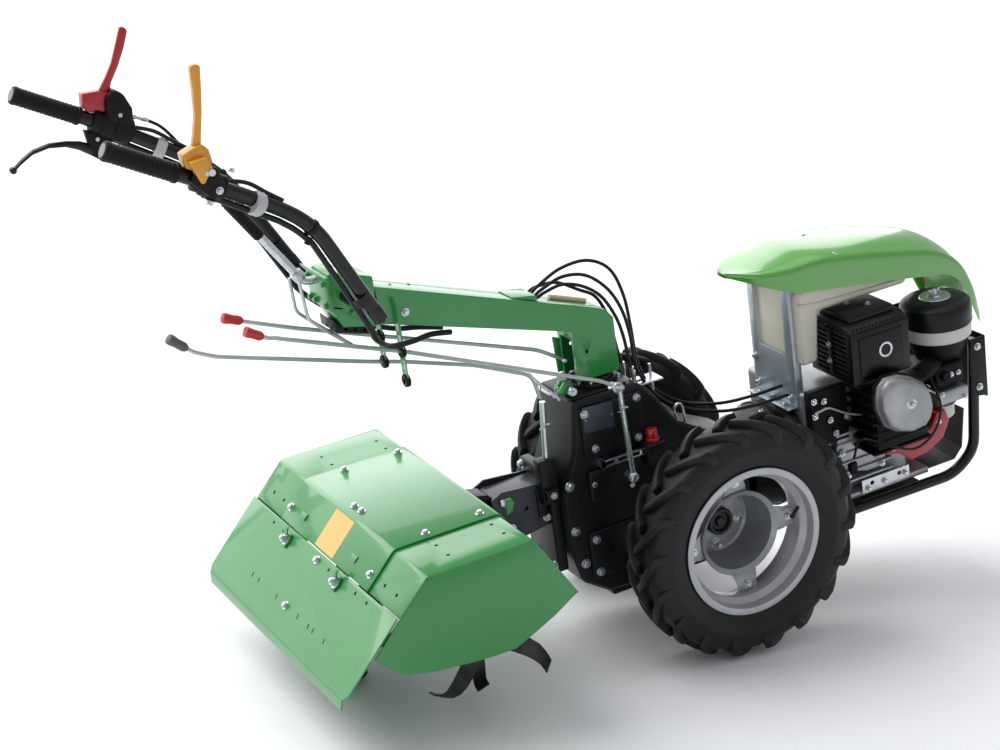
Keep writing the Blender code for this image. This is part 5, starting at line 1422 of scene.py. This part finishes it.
rings = []
for x, edge, shoulder, crown, half in flowed(SECTIONS, 5):
    side_row = [(-0.985, edge), (-0.995, edge + 0.35 * (shoulder - edge)),
        (-1.0, edge + 0.7 * (shoulder - edge)), (-0.998, shoulder - 0.007),
        (-0.985, shoulder - 0.0015), (-0.955, shoulder + 0.0025), (-0.9, shoulder + 0.005)]
    over = [(-0.9 + 0.15 * k, shoulder + 0.005 + (crown - shoulder - 0.005) *
        (1 - (1 - k / 6) ** 2.2)) for k in range(1, 6)]
    row = side_row + over + [(0, crown)]
    row += [(-a, z) for a, z in row[-2::-1]]
    outer = [(x, a * half, z) for a, z in row]
    inner = [(x - (0.003 if x > 0.72 else 0.0), a * (half - 0.0035), max(z - 0.0035, edge)) for a,
        z in row]
    rings.append(outer + inner[::-1])
hood = painted(lofted("hood_shell", rings), HOOD_GREEN)
pieces = [hood]
for x, y, z in ((0.401, 0.012, 0.51), (0.403, -0.1, 0.4925)):
    pieces.append(painted(spun("dimple", [(0.0, z - 0.002), (0.01, z - 0.002),
        (0.0095, z + 0.0012), (0.007, z + 0.0016), (0.0, z + 0.0012)], (x, y, 0), "Z", 28),
        HOOD_GREEN))
    pieces.append(painted(spun("screw", [(0.0, z), (0.0045, z), (0.0045, z + 0.003),
        (0.003, z + 0.0042), (0.0, z + 0.0042)], (x, y, 0), "Z", 20), ZINC))
fitted(joined("hood_moulding", pieces), "chassis", "hood_green", "hood", smooth=60)

# ---------------------------------------------------------------- bumper and belly tray
# A guard of bent black tube under the engine, with a folded plate across its front. A dark grey
# tray closes the belly.
tubes = [bar_along("tube", [(0.31, y, -0.109), (0.66, y, -0.114), (0.722, y, -0.07),
    (0.738, y, 0.205)], 0.013, 28, 0.045) for y in (-0.14, 0.14)]
low = eased(box_of("low", (0.33, -0.142, -0.106), (0.56, 0.142, -0.096)), 0.002)
fitted(joined("bumper_tubes", all_painted([*tubes, low], GLOSS_BLACK)), "chassis", "black",
    "front_bumper")
front = eased(box_of("front", (0.7525, -0.158, 0.06), (0.7585, 0.158, 0.212)), 0.002)
cheeks = [eased(slab("cheek", [(0.715, 0.07), (0.758, 0.062), (0.758, 0.211), (0.715, 0.211)],
    *sorted((s * 0.158, s * 0.1535))), 0.002) for s in (-1, 1)]
pieces = all_painted([front, *cheeks], SATIN_BLACK)
for s in (-1, 1):
    for z in (0.09, 0.19):
        pieces.append(bolt_at((0.734, s * 0.158, z), (0, s, 0), 0.011))
fitted(joined("bumper_plate", pieces), "chassis", "black", "bumper_bracket")
TRAY_GREY = surface("tray_grey", (0.115, 0.12, 0.13), (0.09, 0.094, 0.1), 0.36, metallic=0.4,
    grain=200, depth=0.08, patches=10)
tray = painted(from_cad("tray", "belly_tray", 0.001), TRAY_GREY)
fitted(joined("belly_plate", [tray] + [bolt_at((0.64, y, -0.09), DOWNWARD, 0.011) for y in
    (-0.09, 0.09)]), "chassis", "charcoal", "belly_tray")

bpy.data.objects.remove(BOLT)
